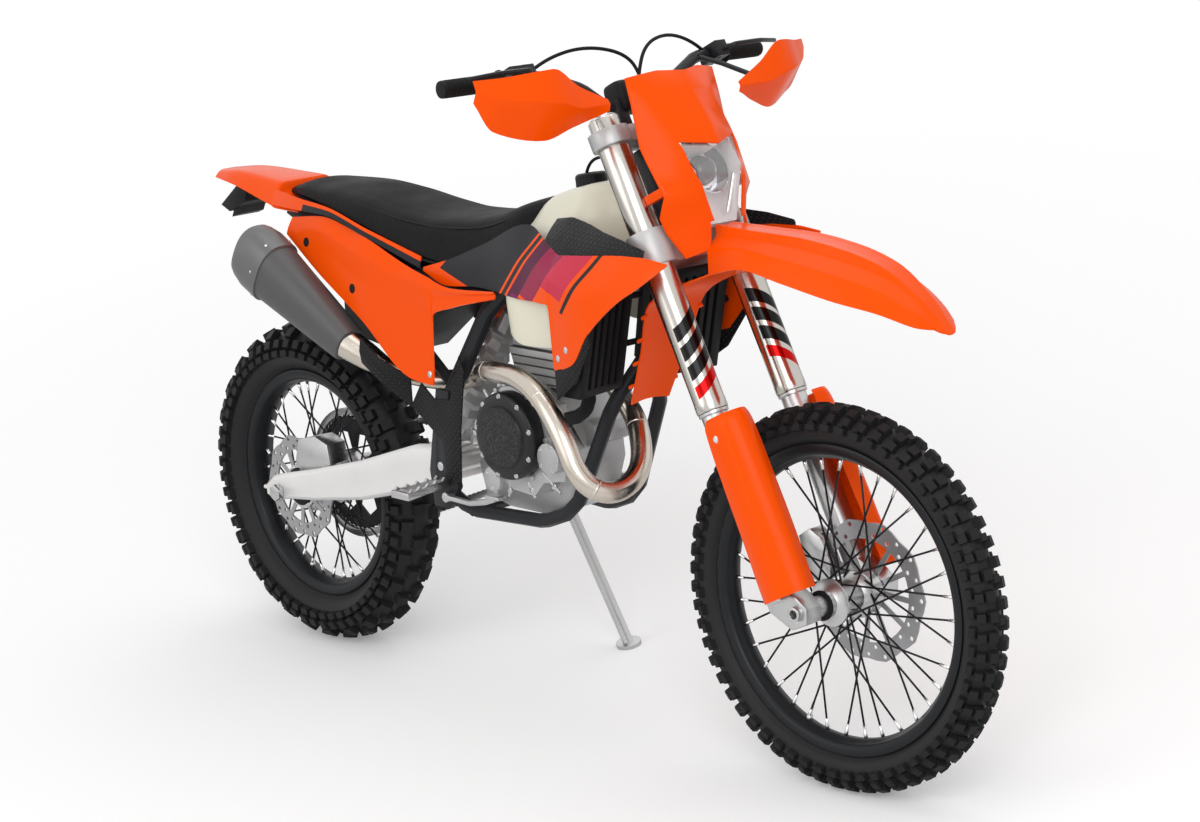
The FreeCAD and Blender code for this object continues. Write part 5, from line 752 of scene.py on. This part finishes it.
heads = screw_circle(CLUTCH + RIGHT * 29.5, 77, 9, RIGHT, 4.2, 3, 0.35)
heads += [screw(Vector((x, -111.5, z)), RIGHT, 4.5, 4) for x, z in (
    (680, 500), (694, 446), (736, 452), (800, 462), (866, 478), (904, 510), (906, 556), (886, 580), (848, 634),
    (790, 664), (726, 656), (686, 620), (674, 560))]
heads += screw_circle(Vector((877, -133.5, 538)), 25, 5, RIGHT, 3.2, 3)
heads += screw_circle(Vector((699, -123.5, 471)), 18, 3, RIGHT, 3, 3, 0.5 * 3 / math.tau)
webs = [tube_mesh([(x0, -110, z0), (x1, -109, z1)], [4.2, 3.2], 12) for x0, z0, x1, z1 in (
    (850, 590, 896, 610), (852, 545, 905, 530), (835, 500, 880, 468), (790, 476, 806, 448),
    (740, 478, 730, 440), (700, 506, 672, 484), (676, 560, 664, 566), (694, 620, 676, 640),
    (740, 654, 736, 676))]
placed("engine_webs", merged(webs), "chassis", cast_metal, "engine_metal")
placed("engine_screws", merged(heads), "chassis", ground_steel, "silver_metal")

# Bodywork: injection moulded skins about 3 mm thick, with soft folds, screwed to the tank and the subframe.
# Each is drawn by a few sections, whose curves run on between them without swinging past them.
UPWARD = Vector((0, 0, 1))


def eased(rows, fine):
    """Sections between the given ones, on curves that never swing past them."""
    runs = [max(1.0, sum((q - p).length for p, q in zip(one, two)) / len(one))
            for one, two in zip(rows, rows[1:])]
    slopes = [[(q - p) / run for p, q in zip(one, two)] for one, two, run in zip(rows, rows[1:], runs)]

    def between(one, two):
        return Vector([2 * a * b / (a + b) if a * b > 0 else 0.0 for a, b in zip(one, two)])
    leans = [[between(p, q) for p, q in zip(a, b)] for a, b in zip(slopes, slopes[1:])]
    leans = [slopes[0]] + leans + [slopes[-1]]
    result = []
    for i, run in enumerate(runs):
        for t in (step / fine for step in range(fine)):
            a, b = 2 * t ** 3 - 3 * t ** 2 + 1, t ** 3 - 2 * t ** 2 + t
            c, d = 3 * t ** 2 - 2 * t ** 3, t ** 3 - t ** 2
            result.append([p * a + m * (b * run) + q * c + n * (d * run)
                           for p, m, q, n in zip(rows[i], leans[i], rows[i + 1], leans[i + 1])])
    return result + [list(rows[-1])]


def softened(line, radius):
    """A line across a skin, with each of its corners rounded to the same number of places."""
    result = [line[0]]
    for before, place, after in zip(line, line[1:], line[2:]):
        one, two = (place + (end - place).normalized() * min(radius, (end - place).length * 0.42)
                    for end in (before, after))
        for t in (0, 1 / 3, 2 / 3, 1):
            result.append(one * (1 - t) ** 2 + place * (2 * t * (1 - t)) + two * t ** 2)
    return result + [line[-1]]


def shell(rows, wall, out):
    """A closed skin of one wall thickness under a grid of places, with its own map of along and across."""
    count, wide = len(rows), len(rows[0])
    ways = []
    for i in range(count):
        for k in range(wide):
            along = rows[min(i + 1, count - 1)][k] - rows[max(i - 1, 0)][k]
            across = rows[i][min(k + 1, wide - 1)] - rows[i][max(k - 1, 0)]
            ways.append(along.cross(across).normalized())
    if sum(w.dot(out) for w in ways) < 0:
        ways = [-w for w in ways]
    outer = [p for row in rows for p in row]
    below = len(outer)
    faces = []
    for i in range(count - 1):
        for k in range(wide - 1):
            a, b, c, d = i * wide + k, i * wide + k + 1, (i + 1) * wide + k + 1, (i + 1) * wide + k
            faces += [(a, b, c, d), (d + below, c + below, b + below, a + below)]
    rim = list(range(wide)) + [i * wide + wide - 1 for i in range(1, count)]
    rim += [(count - 1) * wide + k for k in reversed(range(wide - 1))]
    rim += [i * wide for i in reversed(range(1, count - 1))]
    faces += [(b, a, a + below, b + below) for a, b in zip(rim, rim[1:] + rim[:1])]
    mesh = mesh_of(outer + [p - w * wall for p, w in zip(outer, ways)], faces)
    flat = mesh.uv_layers.new(name="along_across")
    for loop in mesh.loops:
        spot = loop.vertex_index % below
        flat.data[loop.index].uv = (spot // wide / (count - 1), spot % wide / (wide - 1))
    return mesh


def along_across(material):
    """How far along and across its skin each spot is, from 0 to 1, inside a material."""
    tree = material.node_tree
    spot = joined(tree, "ShaderNodeUVMap", {"uv_map": "along_across"}).outputs[0]
    return [Field(tree, socket) for socket in joined(tree, "ShaderNodeSeparateXYZ", i0=spot).outputs[:2]]


def twinned(work):
    """Adds the mirror image on the machine's other side."""
    twin = bmesh.ops.duplicate(work, geom=work.verts[:] + work.edges[:] + work.faces[:])["geom"]
    for corner in twin:
        if isinstance(corner, bmesh.types.BMVert):
            corner.co.y = -corner.co.y


def moulded(name, rows, coat, slot, body="chassis", node=None, out=UPWARD, pair=None, soft=6.0, wall=3.0,
            fine=6, crease=38):
    """A finished skin through some sections. Its outside faces out, or a pair's right-hand skin faces pair."""
    grid = [softened(line, soft) for line in eased(rows, fine)]
    mesh = reworked(shell(grid, wall, pair or out))
    return placed(name, reworked(mesh, twinned) if pair else mesh, body, coat, slot, node, crease)


def side_rows(stations):
    """Sections of the right side's skin, from how far ahead and the (across, up) places down it."""
    return [[Vector((x, -y, z)) for y, z in line] for x, line in stations]


def whole_row(half, middle=()):
    """A section across the machine from its right half, with its mirror image."""
    return half + list(middle) + [Vector((p.x, -p.y, p.z)) for p in reversed(half)]


# Shrouds: orange, with a leg beside the radiator, and printed artwork of slanted bands.
PRINT_BLACK = (0.022, 0.022, 0.025)
SKY_END = 1300
shroud_art = finish("shroud_art", ORANGE, 0.22, shine=0.12, grain=500, depth=0.02, tone=0.02, rough_play=0.04)
ahead, across, up = drawn(shroud_art)
slant, cross = ahead - up * 0.9, up + ahead * 0.28
for low, high, floor_line, roof_line, colour in (
        (-200, 22, 1030, SKY_END, PRINT_BLACK), (30, 44, 1046, SKY_END, PRINT_BLACK),
        (52, 92, 1062, SKY_END, (0.10, 0.012, 0.045)), (92, 150, 1092, SKY_END, (0.33, 0.018, 0.07)),
        (150, 236, 1140, SKY_END, (0.62, 0.035, 0.075)), (64, 128, 1050, 1084, (0.20, 0.016, 0.10)),
        (250, 262, 1120, SKY_END, PRINT_BLACK)):
    painted_over(shroud_art, band(slant, low, high) * band(cross, floor_line, roof_line), colour)
moulded("shrouds_skin", side_rows([
    (530, [(119, 864), (120, 861), (121, 857)]), (600, [(114, 884), (122, 866), (125, 836)]),
    (706, [(112, 923), (128, 890), (132, 844)]), (846, [(118, 973), (148, 912), (160, 842)]),
    (915, [(142, 953), (168, 905), (178, 846)]), (965, [(158, 936), (184, 900), (188, 847)]),
    (975, [(162, 935), (187, 900), (188, 728)]), (1035, [(174, 941), (202, 890), (200, 746)]),
    (1090, [(180, 947), (208, 890), (206, 810)]), (1169, [(188, 955), (205, 914), (207, 873)]),
    (1227, [(190, 957), (200, 934), (204, 907)]), (1287, [(190, 952), (191, 950), (191, 948)])]),
    shroud_art, "orange_plastic", node="shrouds", pair=RIGHT, soft=14)

# Side panels: orange, from the seat down to the footpegs, with two folds that fade out to the rear.
folded = []
for top, middle, low in side_rows([
        (94, [(100, 922), (112, 906), (118, 890)]), (210, [(108, 933), (126, 890), (131, 822)]),
        (300, [(114, 918), (134, 860), (138, 774)]), (359, [(122, 906), (139, 846), (143, 742)]),
        (482, [(130, 868), (144, 826), (148, 655)]), (521, [(136, 860), (146, 826), (150, 646)]),
        (574, [(142, 850), (149, 822), (151, 643)]), (584, [(143, 847), (149, 825), (150, 779)]),
        (640, [(147, 838), (150, 828), (150, 800)]), (772, [(150, 845), (151, 839), (151, 832)])]):
    fold = Vector((0, min(1, (top.x - 94) / 180), 0))
    folded.append([top, top.lerp(middle, 0.55) - fold * 5, middle.lerp(low, 0.22) + fold * 4, low])
moulded("side_panels_skin", folded, orange_gloss, "orange_plastic", node="side_panels", pair=RIGHT, crease=16)

# Rear fender: one orange moulding, an arch over the wheel with a wing each side below the seat.
# A dark strip is printed along each wing. Under the seat a black mudguard runs down in front of the wheel.
arch = [whole_row([Vector((x, -side_half, side)), Vector((x, -top_half, top))])
        for x, top_half, top, side_half, side in (
            (-252, 26, 984, 40, 970), (-174, 42, 990, 60, 966), (-40, 56, 984, 80, 944), (8, 62, 980, 88, 936),
            (15, 64, 958, 89, 934), (100, 70, 946, 92, 932))]
moulded("rear_fender_arch", arch, orange_gloss, "orange_plastic", node="rear_fender", soft=12)
wing_print = finish("wing_print", ORANGE, 0.22, shine=0.12, grain=500, depth=0.02, tone=0.02, rough_play=0.04)
along, across = along_across(wing_print)
painted_over(wing_print, ramp(along, 0.30, 0.302) * ramp(across, 0.40, 0.42), PRINT_BLACK)
moulded("rear_fender_wings", side_rows([
    (0, [(70, 968), (86, 938)]), (110, [(92, 960), (102, 938)]), (210, [(103, 953), (111, 937)]),
    (359, [(115, 921), (122, 906)]), (524, [(119, 884), (124, 862)])]), wing_print, "orange_plastic",
        pair=RIGHT)
liner = [whole_row([Vector((x, -half, side)), Vector((x, -half * 0.8, top))]) for x, half, top, side in (
    (20, 60, 952, 918), (110, 84, 940, 902), (210, 98, 934, 880), (300, 104, 912, 842), (400, 108, 890, 826),
    (470, 112, 872, 806))]
moulded("inner_mudguard", liner, black_plastic, "black_plastic", soft=14)

# Fuel tank: one translucent natural moulding, whose lobes hang beside the frame's spars.
natural_tank = finish("natural_tank", (0.80, 0.77, 0.62), 0.34, grain=700, depth=0.08, tone=0.04, coat=0.25,
                      rough_play=0.06, patches=14)
tank_rows = [whole_row(row[::-1]) for row in side_rows([
    (780, [(38, 976), (86, 938), (90, 890), (86, 866)]), (790, [(44, 984), (90, 942), (138, 850), (130, 774)]),
    (846, [(58, 1018), (100, 954), (156, 846), (146, 752)]),
    (928, [(64, 1041), (106, 972), (159, 852), (148, 758)]),
    (946, [(62, 1045), (104, 976), (108, 920), (96, 896)]),
    (998, [(46, 1046), (54, 985), (60, 930), (56, 902)]),
    (1044, [(36, 1034), (46, 986), (50, 950), (46, 932)])])]
moulded("fuel_tank_moulding", tank_rows, natural_tank, "tank_plastic", node="fuel_tank", soft=22,
        wall=9, crease=60)

# Seat: foam under stretched vinyl, smooth on top, with fine ribs down its sides and a seam along each edge.
# It stands on a black plastic base.
ribbed_vinyl = finish("ribbed_vinyl", (0.006, 0.006, 0.006), 0.55, shine=0.1, grain=1700, depth=0.3, tone=0.12,
                      rough_play=0.08)
ahead, across, up = drawn(ribbed_vinyl)
beside = ramp(abs(along_across(ribbed_vinyl)[1] - 0.5), 0.20, 0.24)
ribs = abs(sum_of(ahead.tree, "SINE", (ahead + up * 0.5) * 0.62))
embossed(ribbed_vinyl, ribs * beside, 0.8, 0.0014)
painted_over(ribbed_vinyl, beside, (0.011, 0.011, 0.012))
seat_rows = [whole_row(row[::-1], [Vector((row[0].x, 0, row[0].z + 3))]) for row in side_rows([
    (18, [(26, 970), (40, 966), (42, 958)]), (101, [(40, 988), (70, 980), (74, 962)]),
    (200, [(56, 988), (86, 978), (92, 952)]), (310, [(62, 979), (98, 966), (106, 932)]),
    (420, [(68, 962), (102, 950), (112, 906)]), (520, [(70, 954), (102, 941), (114, 884)]),
    (600, [(70, 957), (98, 941), (112, 876)]), (690, [(68, 969), (94, 949), (108, 908)]),
    (770, [(62, 996), (86, 976), (98, 944)]), (836, [(40, 1014), (56, 1000), (60, 984)])])]
seat = moulded("seat_cover", seat_rows, ribbed_vinyl, "seat_cover", node="seat", soft=26, wall=14,
               crease=70)
base = [whole_row([Vector((x, -y, z))], [Vector((x, 0, z))]) for x, y, z in (
    (30, 44, 958), (101, 76, 958), (200, 95, 946), (310, 108, 926), (420, 115, 902), (520, 117, 880),
    (600, 114, 874), (690, 108, 904), (760, 96, 936))]
moulded("seat_base", base, black_plastic, "black_plastic", wall=4, fine=3)


def skin_tree(piece):
    """What finds places on a finished skin."""
    return BVHTree.FromPolygons([v.co for v in piece.data.vertices], [p.vertices for p in piece.data.polygons])


seams = []
cover = skin_tree(seat)
for side in (-1, 1):
    line = [parked.inverted() @ cover.find_nearest(parked @ Vector((x, side * y, z)))[0] for x, y, z in (
        (60, 56, 974), (101, 70, 981), (200, 86, 979), (310, 98, 967), (420, 102, 951), (520, 102, 942),
        (600, 98, 942), (690, 94, 950), (770, 86, 977), (820, 66, 993))]
    seams.append(tube_mesh(smooth_route(line, 2), 1.3, 8))
placed("seat_seams", merged(seams), "chassis", black_plastic, "seat_cover", crease=None)

# Fork: satin nickel upper tubes with three slanted printed bars and a red one, and caps with adjusters on top.
# Places on the fork are given ahead of its legs' line, across the machine, and up along the legs.
FORK_HALF = 105.0


def fork(ahead, across, up):
    """A place beside the fork, upright."""
    return FORK_FOOT + FORK_AHEAD * ahead + Vector((0, across, 0)) + FORK_UP * up


banded_nickel = finish("banded_nickel", (0.56, 0.53, 0.49), 0.2, metallic=1.0, grain=1800, depth=0.03,
                       tone=0.05, rough_play=0.05)
ahead, across, up = drawn(banded_nickel, "steering")
rise = (ahead - FORK_FOOT.x) * FORK_UP.x + (up - FORK_FOOT.z) * FORK_UP.z
skewed = rise + (abs(across) - FORK_HALF) * 0.8
on_front = ramp(ahead - rise * FORK_UP.x, FORK_FOOT.x + 4, FORK_FOOT.x + 5)
for low, high, colour in ((536, 562, (0.02, 0.02, 0.02)), (500, 526, (0.02, 0.02, 0.02)),
                          (464, 490, (0.02, 0.02, 0.02)), (430, 452, (0.5, 0.008, 0.008))):
    painted_over(banded_nickel, band(skewed, low, high, 0.4) * on_front, colour)
for name, coat, slot, steps, node, profile in (
        ("fork_upper_tubes", banded_nickel, "fork_finish", 56, "fork_outer_tubes", [
            (26.5, 382.5), (28.2, 383), (28.9, 386), (28.9, 400), (28.4, 402), (28.4, 700), (28.9, 702),
            (28.9, 934), (28, 936)]),
        ("fork_caps", bare_aluminium, "silver_metal", 40, None, [
            (25, 933), (25, 938.5), (23.5, 940.5), (15, 940.8), (14.5, 942.5), (8, 942.8)]),
        ("fork_dust_seals", bare_aluminium, "silver_metal", 48, None, [
            (24.5, 376), (27.4, 377), (27.6, 381.8), (24.5, 382.2)])):
    legs = [spun(profile, fork(0, side * FORK_HALF, 0), FORK_UP, steps) for side in (-1, 1)]
    placed(name, merged(legs), "steering", coat, slot, node)

# Front fender: a long orange beak bolted under the lower clamp, with a raised middle and a drooping tip.
# A flap with short fins runs back under the clamps.
beak = []
for (n, t), half, (side_n, side_t), side in (
        ((88, 690), 24, (74, 606), 72), ((170, 646), 30, (160, 584), 84), ((250, 604), 32, (236, 530), 88),
        ((330, 552), 30, (318, 468), 85), ((400, 492), 25, (396, 412), 72), ((450, 412), 17, (446, 366), 52),
        ((474, 338), 12, (464, 350), 28)):
    line = [fork(side_n, -side, side_t)]
    for share, y, lift in ((0.42, 0.72, 9), (0.84, 0.10, -7)):
        line.append(fork(side_n + (n - side_n) * share, -side * y - half * (1 - y),
                         side_t + (t - side_t) * share + lift * min(1.0, (side / 80) ** 2)))
    beak.append(whole_row(line + [fork(n, -half, t), fork(n + 1, -half * 0.45, t - 3)]))
moulded("front_fender_beak", beak, orange_gloss, "orange_plastic", "steering", "front_fender", FORK_UP, soft=4,
        crease=20)
flap = [[fork(n, -half, t), fork(n, -half * 0.3, t + 5), fork(n, half * 0.3, t + 5), fork(n, half, t)]
        for n, t, half in ((96, 606, 73), (-85, 612, 74), (-160, 542, 62), (-240, 470, 50))]
moulded("front_fender_flap", flap, orange_gloss, "orange_plastic", "steering", out=FORK_UP, soft=9)
fins = []
for share in (0.1, 0.33, 0.56, 0.79):
    n, t, half = -85 - 155 * share, 612 - 142 * share, 74 - 24 * share
    for side in (-1, 1):
        outline = [fork(n + back, side * (half + out), t - down)
                   for back, out, down in ((-14, -3, 2), (-9, 9, 3), (-5, 9, 1), (0, -3, 0))]
        fins.append(reworked(lofted([outline, [p - FORK_UP * 4 for p in outline]])))
placed("front_fender_fins", merged(fins), "steering", orange_gloss, "orange_plastic", crease=None, smooth=False)

# Hand guards: orange faceted shields on thin stays from the handlebar.
# Fork guards: orange shields folded round the lower legs, held by screws at the axle lug.
guard_rows = [[fork(n, -y, t) for n, t in line] for y, line in (
    (170, [(84, 924), (92, 934), (90, 944)]), (235, [(48, 915), (96, 932), (98, 972)]),
    (292, [(30, 905), (104, 944), (112, 1004)]), (384, [(12, 940), (70, 974), (70, 1014)]),
    (423.5, [(34, 986), (50, 1003), (52, 1021)]))]
moulded("hand_guards_skin", guard_rows, orange_gloss, "orange_plastic", "steering", "hand_guards",
        pair=FORK_AHEAD, soft=3, wall=3.5, crease=14)
guard_rows = [[fork(n * 78, y * 46 - FORK_HALF, t) for n, y in shares] for t, shares in (
    (34, [(-0.22, -0.7), (0.0, -0.92), (0.4, -1), (0.8, -0.72), (1, -0.3), (0.88, 0.3)]),
    (70, [(-0.2, -0.72), (0.04, -0.92), (0.42, -1), (0.8, -0.7), (1, -0.28), (0.88, 0.32)]),
    (150, [(-0.14, -0.74), (0.1, -0.9), (0.5, -0.95), (0.84, -0.62), (1, -0.2), (0.88, 0.37)]),
    (240, [(-0.1, -0.76), (0.16, -0.88), (0.56, -0.9), (0.86, -0.56), (0.99, -0.12), (0.86, 0.4)]),
    (340, [(-0.04, -0.76), (0.22, -0.84), (0.6, -0.84), (0.86, -0.5), (0.96, -0.05), (0.83, 0.42)]),
    (360, [(0.0, -0.72), (0.24, -0.78), (0.6, -0.78), (0.82, -0.46), (0.92, -0.05), (0.8, 0.38)]),
    (368, [(0.06, -0.64), (0.26, -0.7), (0.58, -0.7), (0.78, -0.42), (0.86, -0.05), (0.76, 0.34)]))]
moulded("fork_guards_skin", guard_rows, orange_gloss, "orange_plastic", "steering", "fork_guards",
        pair=FORK_AHEAD - Vector((0, 0.5, 0)), soft=10)

# Headlamp: a clear faceted lens over a pale reflector shell with a chromed bowl and a round projector.
# The lens's outline is given by seven corners: across, up, and ahead, as shares of its size.
lamp_ring = [(1, 1, 0.64), (0, 0.86, 1), (-1, 1, 0.64), (-0.86, 0.62, 0.84), (-0.5, 0, 0.4), (0.5, 0, 0.4),
             (0.86, 0.62, 0.84)]
LAMP_BACK, LAMP_DEEP, LENS_WALL = 60, 80, 2.2
chrome = finish("lamp_chrome", (0.82, 0.83, 0.85), 0.08, metallic=1.0, grain=300, depth=0.02, tone=0.04)
dark_glass = finish("lamp_glass", (0.03, 0.032, 0.035), 0.05, grain=300, depth=0.01, tone=0.05, shine=0.6)
reflector = finish("lamp_reflector", (0.93, 0.94, 0.95), 0.3, metallic=0.2, grain=300, depth=0.02, tone=0.1)
clear = finish("lamp_lens", (0.96, 0.97, 0.98), 0.03, grain=300, depth=0.01, tone=0.01, shine=0.5)
clear.node_tree.nodes["Principled BSDF"].inputs["Alpha"].default_value = 0.12
front = [fork(LAMP_BACK + n * LAMP_DEEP - 1, y * 69.4, 690.6 + t * 148.8) for y, t, n in lamp_ring]
crown = fork(LAMP_BACK + 0.98 * LAMP_DEEP - 1, 0, 765)
lens_way = FORK_AHEAD * LENS_WALL
count = len(front)
faces = []
for i in range(count):
    j = (i + 1) % count
    faces += [(i, j, count), (count + 1 + j, count + 1 + i, 2 * count + 1),
              (i, count + 1 + i, count + 1 + j, j)]
outside = front + [crown]
lens = reworked(mesh_of(outside + [p - lens_way for p in outside], faces))
placed("headlamp_lens", lens, "steering", clear, "lamp_lens", "headlamp", crease=4)
shell_rings = [[fork(back + n * ahead, y * wide, foot + t * tall) for y, t, n in lamp_ring]
               for back, ahead, wide, foot, tall in (
                   (62, 0, 68, 692, 146), (LAMP_BACK - 6, LAMP_DEEP, 68.6, 691.4, 147.2),
                   (64, 0, 66.5, 693, 144))]
placed("headlamp_shell", reworked(lofted(shell_rings)), "steering", reflector, "fork_finish")
bowl_foot = fork(66, 0, 792)
bowl = spun([(12, 0), (30, 4), (40, 14), (45, 26), (47, 32), (48.5, 31), (46, 22), (36, 8), (12, -2)],
            bowl_foot, FORK_AHEAD, 48)
placed("headlamp_bowl", bowl, "steering", chrome, "fork_finish", crease=30)
projector = spun([(26, 3), (26, 22), (24, 27), (19, 33), (11, 37), (3, 38.5)], bowl_foot, FORK_AHEAD, 40)
placed("headlamp_projector", projector, "steering", dark_glass, "black_plastic", crease=40)
guides = [tube_mesh(smooth_route([fork(74, side * 33, 712), fork(88, side * 44, 742),
                                  fork(100, side * 55, 772)], 2), 4.2, 12) for side in (-1, 1)]
guides.append(spun([(27, 0), (27, 5), (30, 5.5), (33, 5), (33, 0)], bowl_foot + FORK_AHEAD * 9, FORK_AHEAD, 40))
placed("headlamp_light_guides", merged(guides), "steering", chrome, "fork_finish")

# Handlebar: rubber grips with ribs, a cover over the bar's clamps, and hoses from the levers' perches.
# The hoses rise over the mask and go down behind it.
grips = []
for side in (-1, 1):
    inner_end, outer_end = fork(-14, side * 200, 1036), fork(-46, side * 404, 1046)
    way = (outer_end - inner_end).normalized()
    profile = [(12, 0), (20.5, 0.6), (21, 2.5), (20.5, 4.6), (16, 6)]
    for rib in range(26):
        profile += [(radius, height + rib * 4.3) for radius, height in (
            (15.9, 8), (15.9, 9.6), (14.9, 10.1), (14.9, 11.9))]
    grips.append(spun(profile + [(15.8, 122), (15, 126), (11.5, 127)], outer_end - way * 122, way, 36))
placed("grip_rubbers", merged(grips), "steering", black_rubber, "black_rubber", "grips")
housing = [[fork(-14 + 24 * share * bulged(math.cos(turn), 0.45), y,
                 976 + 30 * share * bulged(math.sin(turn), 0.45)) for turn in turns(28)]
           for y, share in ((-46, 0.72), (-42, 0.95), (-32, 1), (32, 1), (42, 0.95), (46, 0.72))]
placed("bar_clamp_cover", reworked(lofted(housing)), "steering", black_plastic, "black_metal")


def hose(name, places, diameter, body):
    """A rubber hose with both ends on the machine, as one smooth line."""
    line = [standing[body] @ Vector(p) for p in places]
    curve = bpy.data.curves.new(name, "CURVE")
    curve.dimensions = "3D"
    spline = curve.splines.new("NURBS")
    spline.points.add(len(line) - 1)
    for point, place in zip(spline.points, line):
        point.co = (*place, 1)
    spline.order_u = 3
    spline.use_endpoint_u = True
    spline.resolution_u = 12
    piece = linked(bpy.data.objects.new(name, curve))
    bpy.context.view_layer.update()
    thin = bpy.data.meshes.new_from_object(piece.evaluated_get(bpy.context.evaluated_depsgraph_get()))
    bpy.data.meshes.remove(thin)
    curve.bevel_depth = diameter / 2
    curve.bevel_resolution = 4
    curve.use_fill_caps = True
    curve.materials.append(black_rubber)
    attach(piece, body)


hose("front_brake_hose", [fork(*place) for place in (
    (-14, -226, 1044), (0, -190, 1062), (26, -110, 1068), (40, -30, 1040), (36, -10, 990), (34, -30, 930),
    (34, -60, 860), (38, -72, 800))], 0.0065, "steering")
hose("clutch_hose", [fork(*place) for place in (
    (-14, 226, 1044), (0, 190, 1062), (30, 100, 1072), (44, 20, 1052), (40, -20, 1000), (30, -40, 940),
    (24, -46, 880))], 0.0065, "steering")

# Tank cap: ribbed round its edge, with a vent hose to the steering head. Beside it are the radiator's filler
# neck and the clamps of the coolant hoses.
cap_up = Vector((-0.134, 0, 0.991))
lid = spun([(30, 0), (30, 4), (29.6, 6), (29.6, 17), (28, 21), (24, 23.4), (12, 24), (11.5, 22), (6, 22)],
           Vector((895, 0, 1032)), cap_up, 96, wave=0.012, lobes=24)
placed("fuel_cap_lid", lid, "chassis", black_plastic, "black_plastic", "fuel_cap", crease=50)
neck_top, neck_way = Vector((982, -106, 962)), Vector((-0.4, 0, 1))
neck = [tube_mesh([(1016, -106, 872), (1000, -106, 920), neck_top], [12, 11, 11], 24),
        spun([(14, -4), (18, -2), (18, 12), (16, 16), (8, 17)], neck_top, neck_way, 24)]
placed("radiator_filler_neck", merged(neck), "chassis", black_plastic, "black_rubber")
hose_start, hose_way = Vector((872, -98, 594)), Vector((33, -14, 18)).normalized()
clamps = [spun([(12, -5), (13.2, -5), (13.2, 5), (12, 5)], Vector((994, -106, 934)), neck_way, 32),
          spun([(13, -6), (14.4, -6), (14.4, 6), (13, 6)], hose_start + hose_way * 11, hose_way, 32)]
placed("hose_clamps", merged(clamps), "chassis", ground_steel, "silver_metal")
hose("tank_vent_hose", [
    (888, -6, 1056), (900, -8, 1080), (950, -10, 1092), (1005, -12, 1078), (1046, -16, 1052),
    (1064, -18, 1022), (1070, -18, 992)], 0.006, "chassis")

# Screws hold the guards and the bodywork, and each side panel has two round openings with a rubber rim.
# They are seated where a level line from the side first meets the skin.


def on_skin(piece, x, z, side):
    """The place on a finished skin at one side of the machine, and which way the skin faces there."""
    start = parked @ Vector((x, side * 400, z))
    place, way, _, _ = skin_tree(piece).ray_cast(start, (parked @ Vector((x, 0, z)) - start).normalized())
    home = parked.inverted()
    way = (home.to_3x3() @ way).normalized()
    return home @ place, way if way.y * side > 0 else -way


screws = [screw(fork(n, side * across, t), FORK_AHEAD * ahead + Vector((0, side * out, 0)), 5, 3)
          for side in (-1, 1) for n, across, t, ahead, out in (
              (50, 131, 60, 0.55, 0.8), (50, 131, 96, 0.55, 0.8), (20, 143, 330, 0.2, 1))]
placed("fork_guard_screws", merged(screws), "steering", ground_steel, "silver_metal")
panels, wings = bpy.data.objects["side_panels_skin"], bpy.data.objects["shrouds_skin"]
screws, holes = [], []
for side in (1, -1):
    for skin, x, z in ((panels, 566, 664), (wings, 990, 752), (wings, 1020, 772)):
        screws.append(screw(*on_skin(skin, x, z, side), 5, 2.5))
    for x, z in ((163, 880), (322, 804)):
        holes.append(spun([(9.6, -3), (9.6, 0.2), (8.8, 0.9), (7.8, 0.9), (7.2, 0.45)],
                          *on_skin(panels, x, z, side), 32))
placed("bodywork_screws", merged(screws), "chassis", ground_steel, "silver_metal")
placed("side_panel_holes", merged(holes), "chassis", black_rubber, "black_rubber")
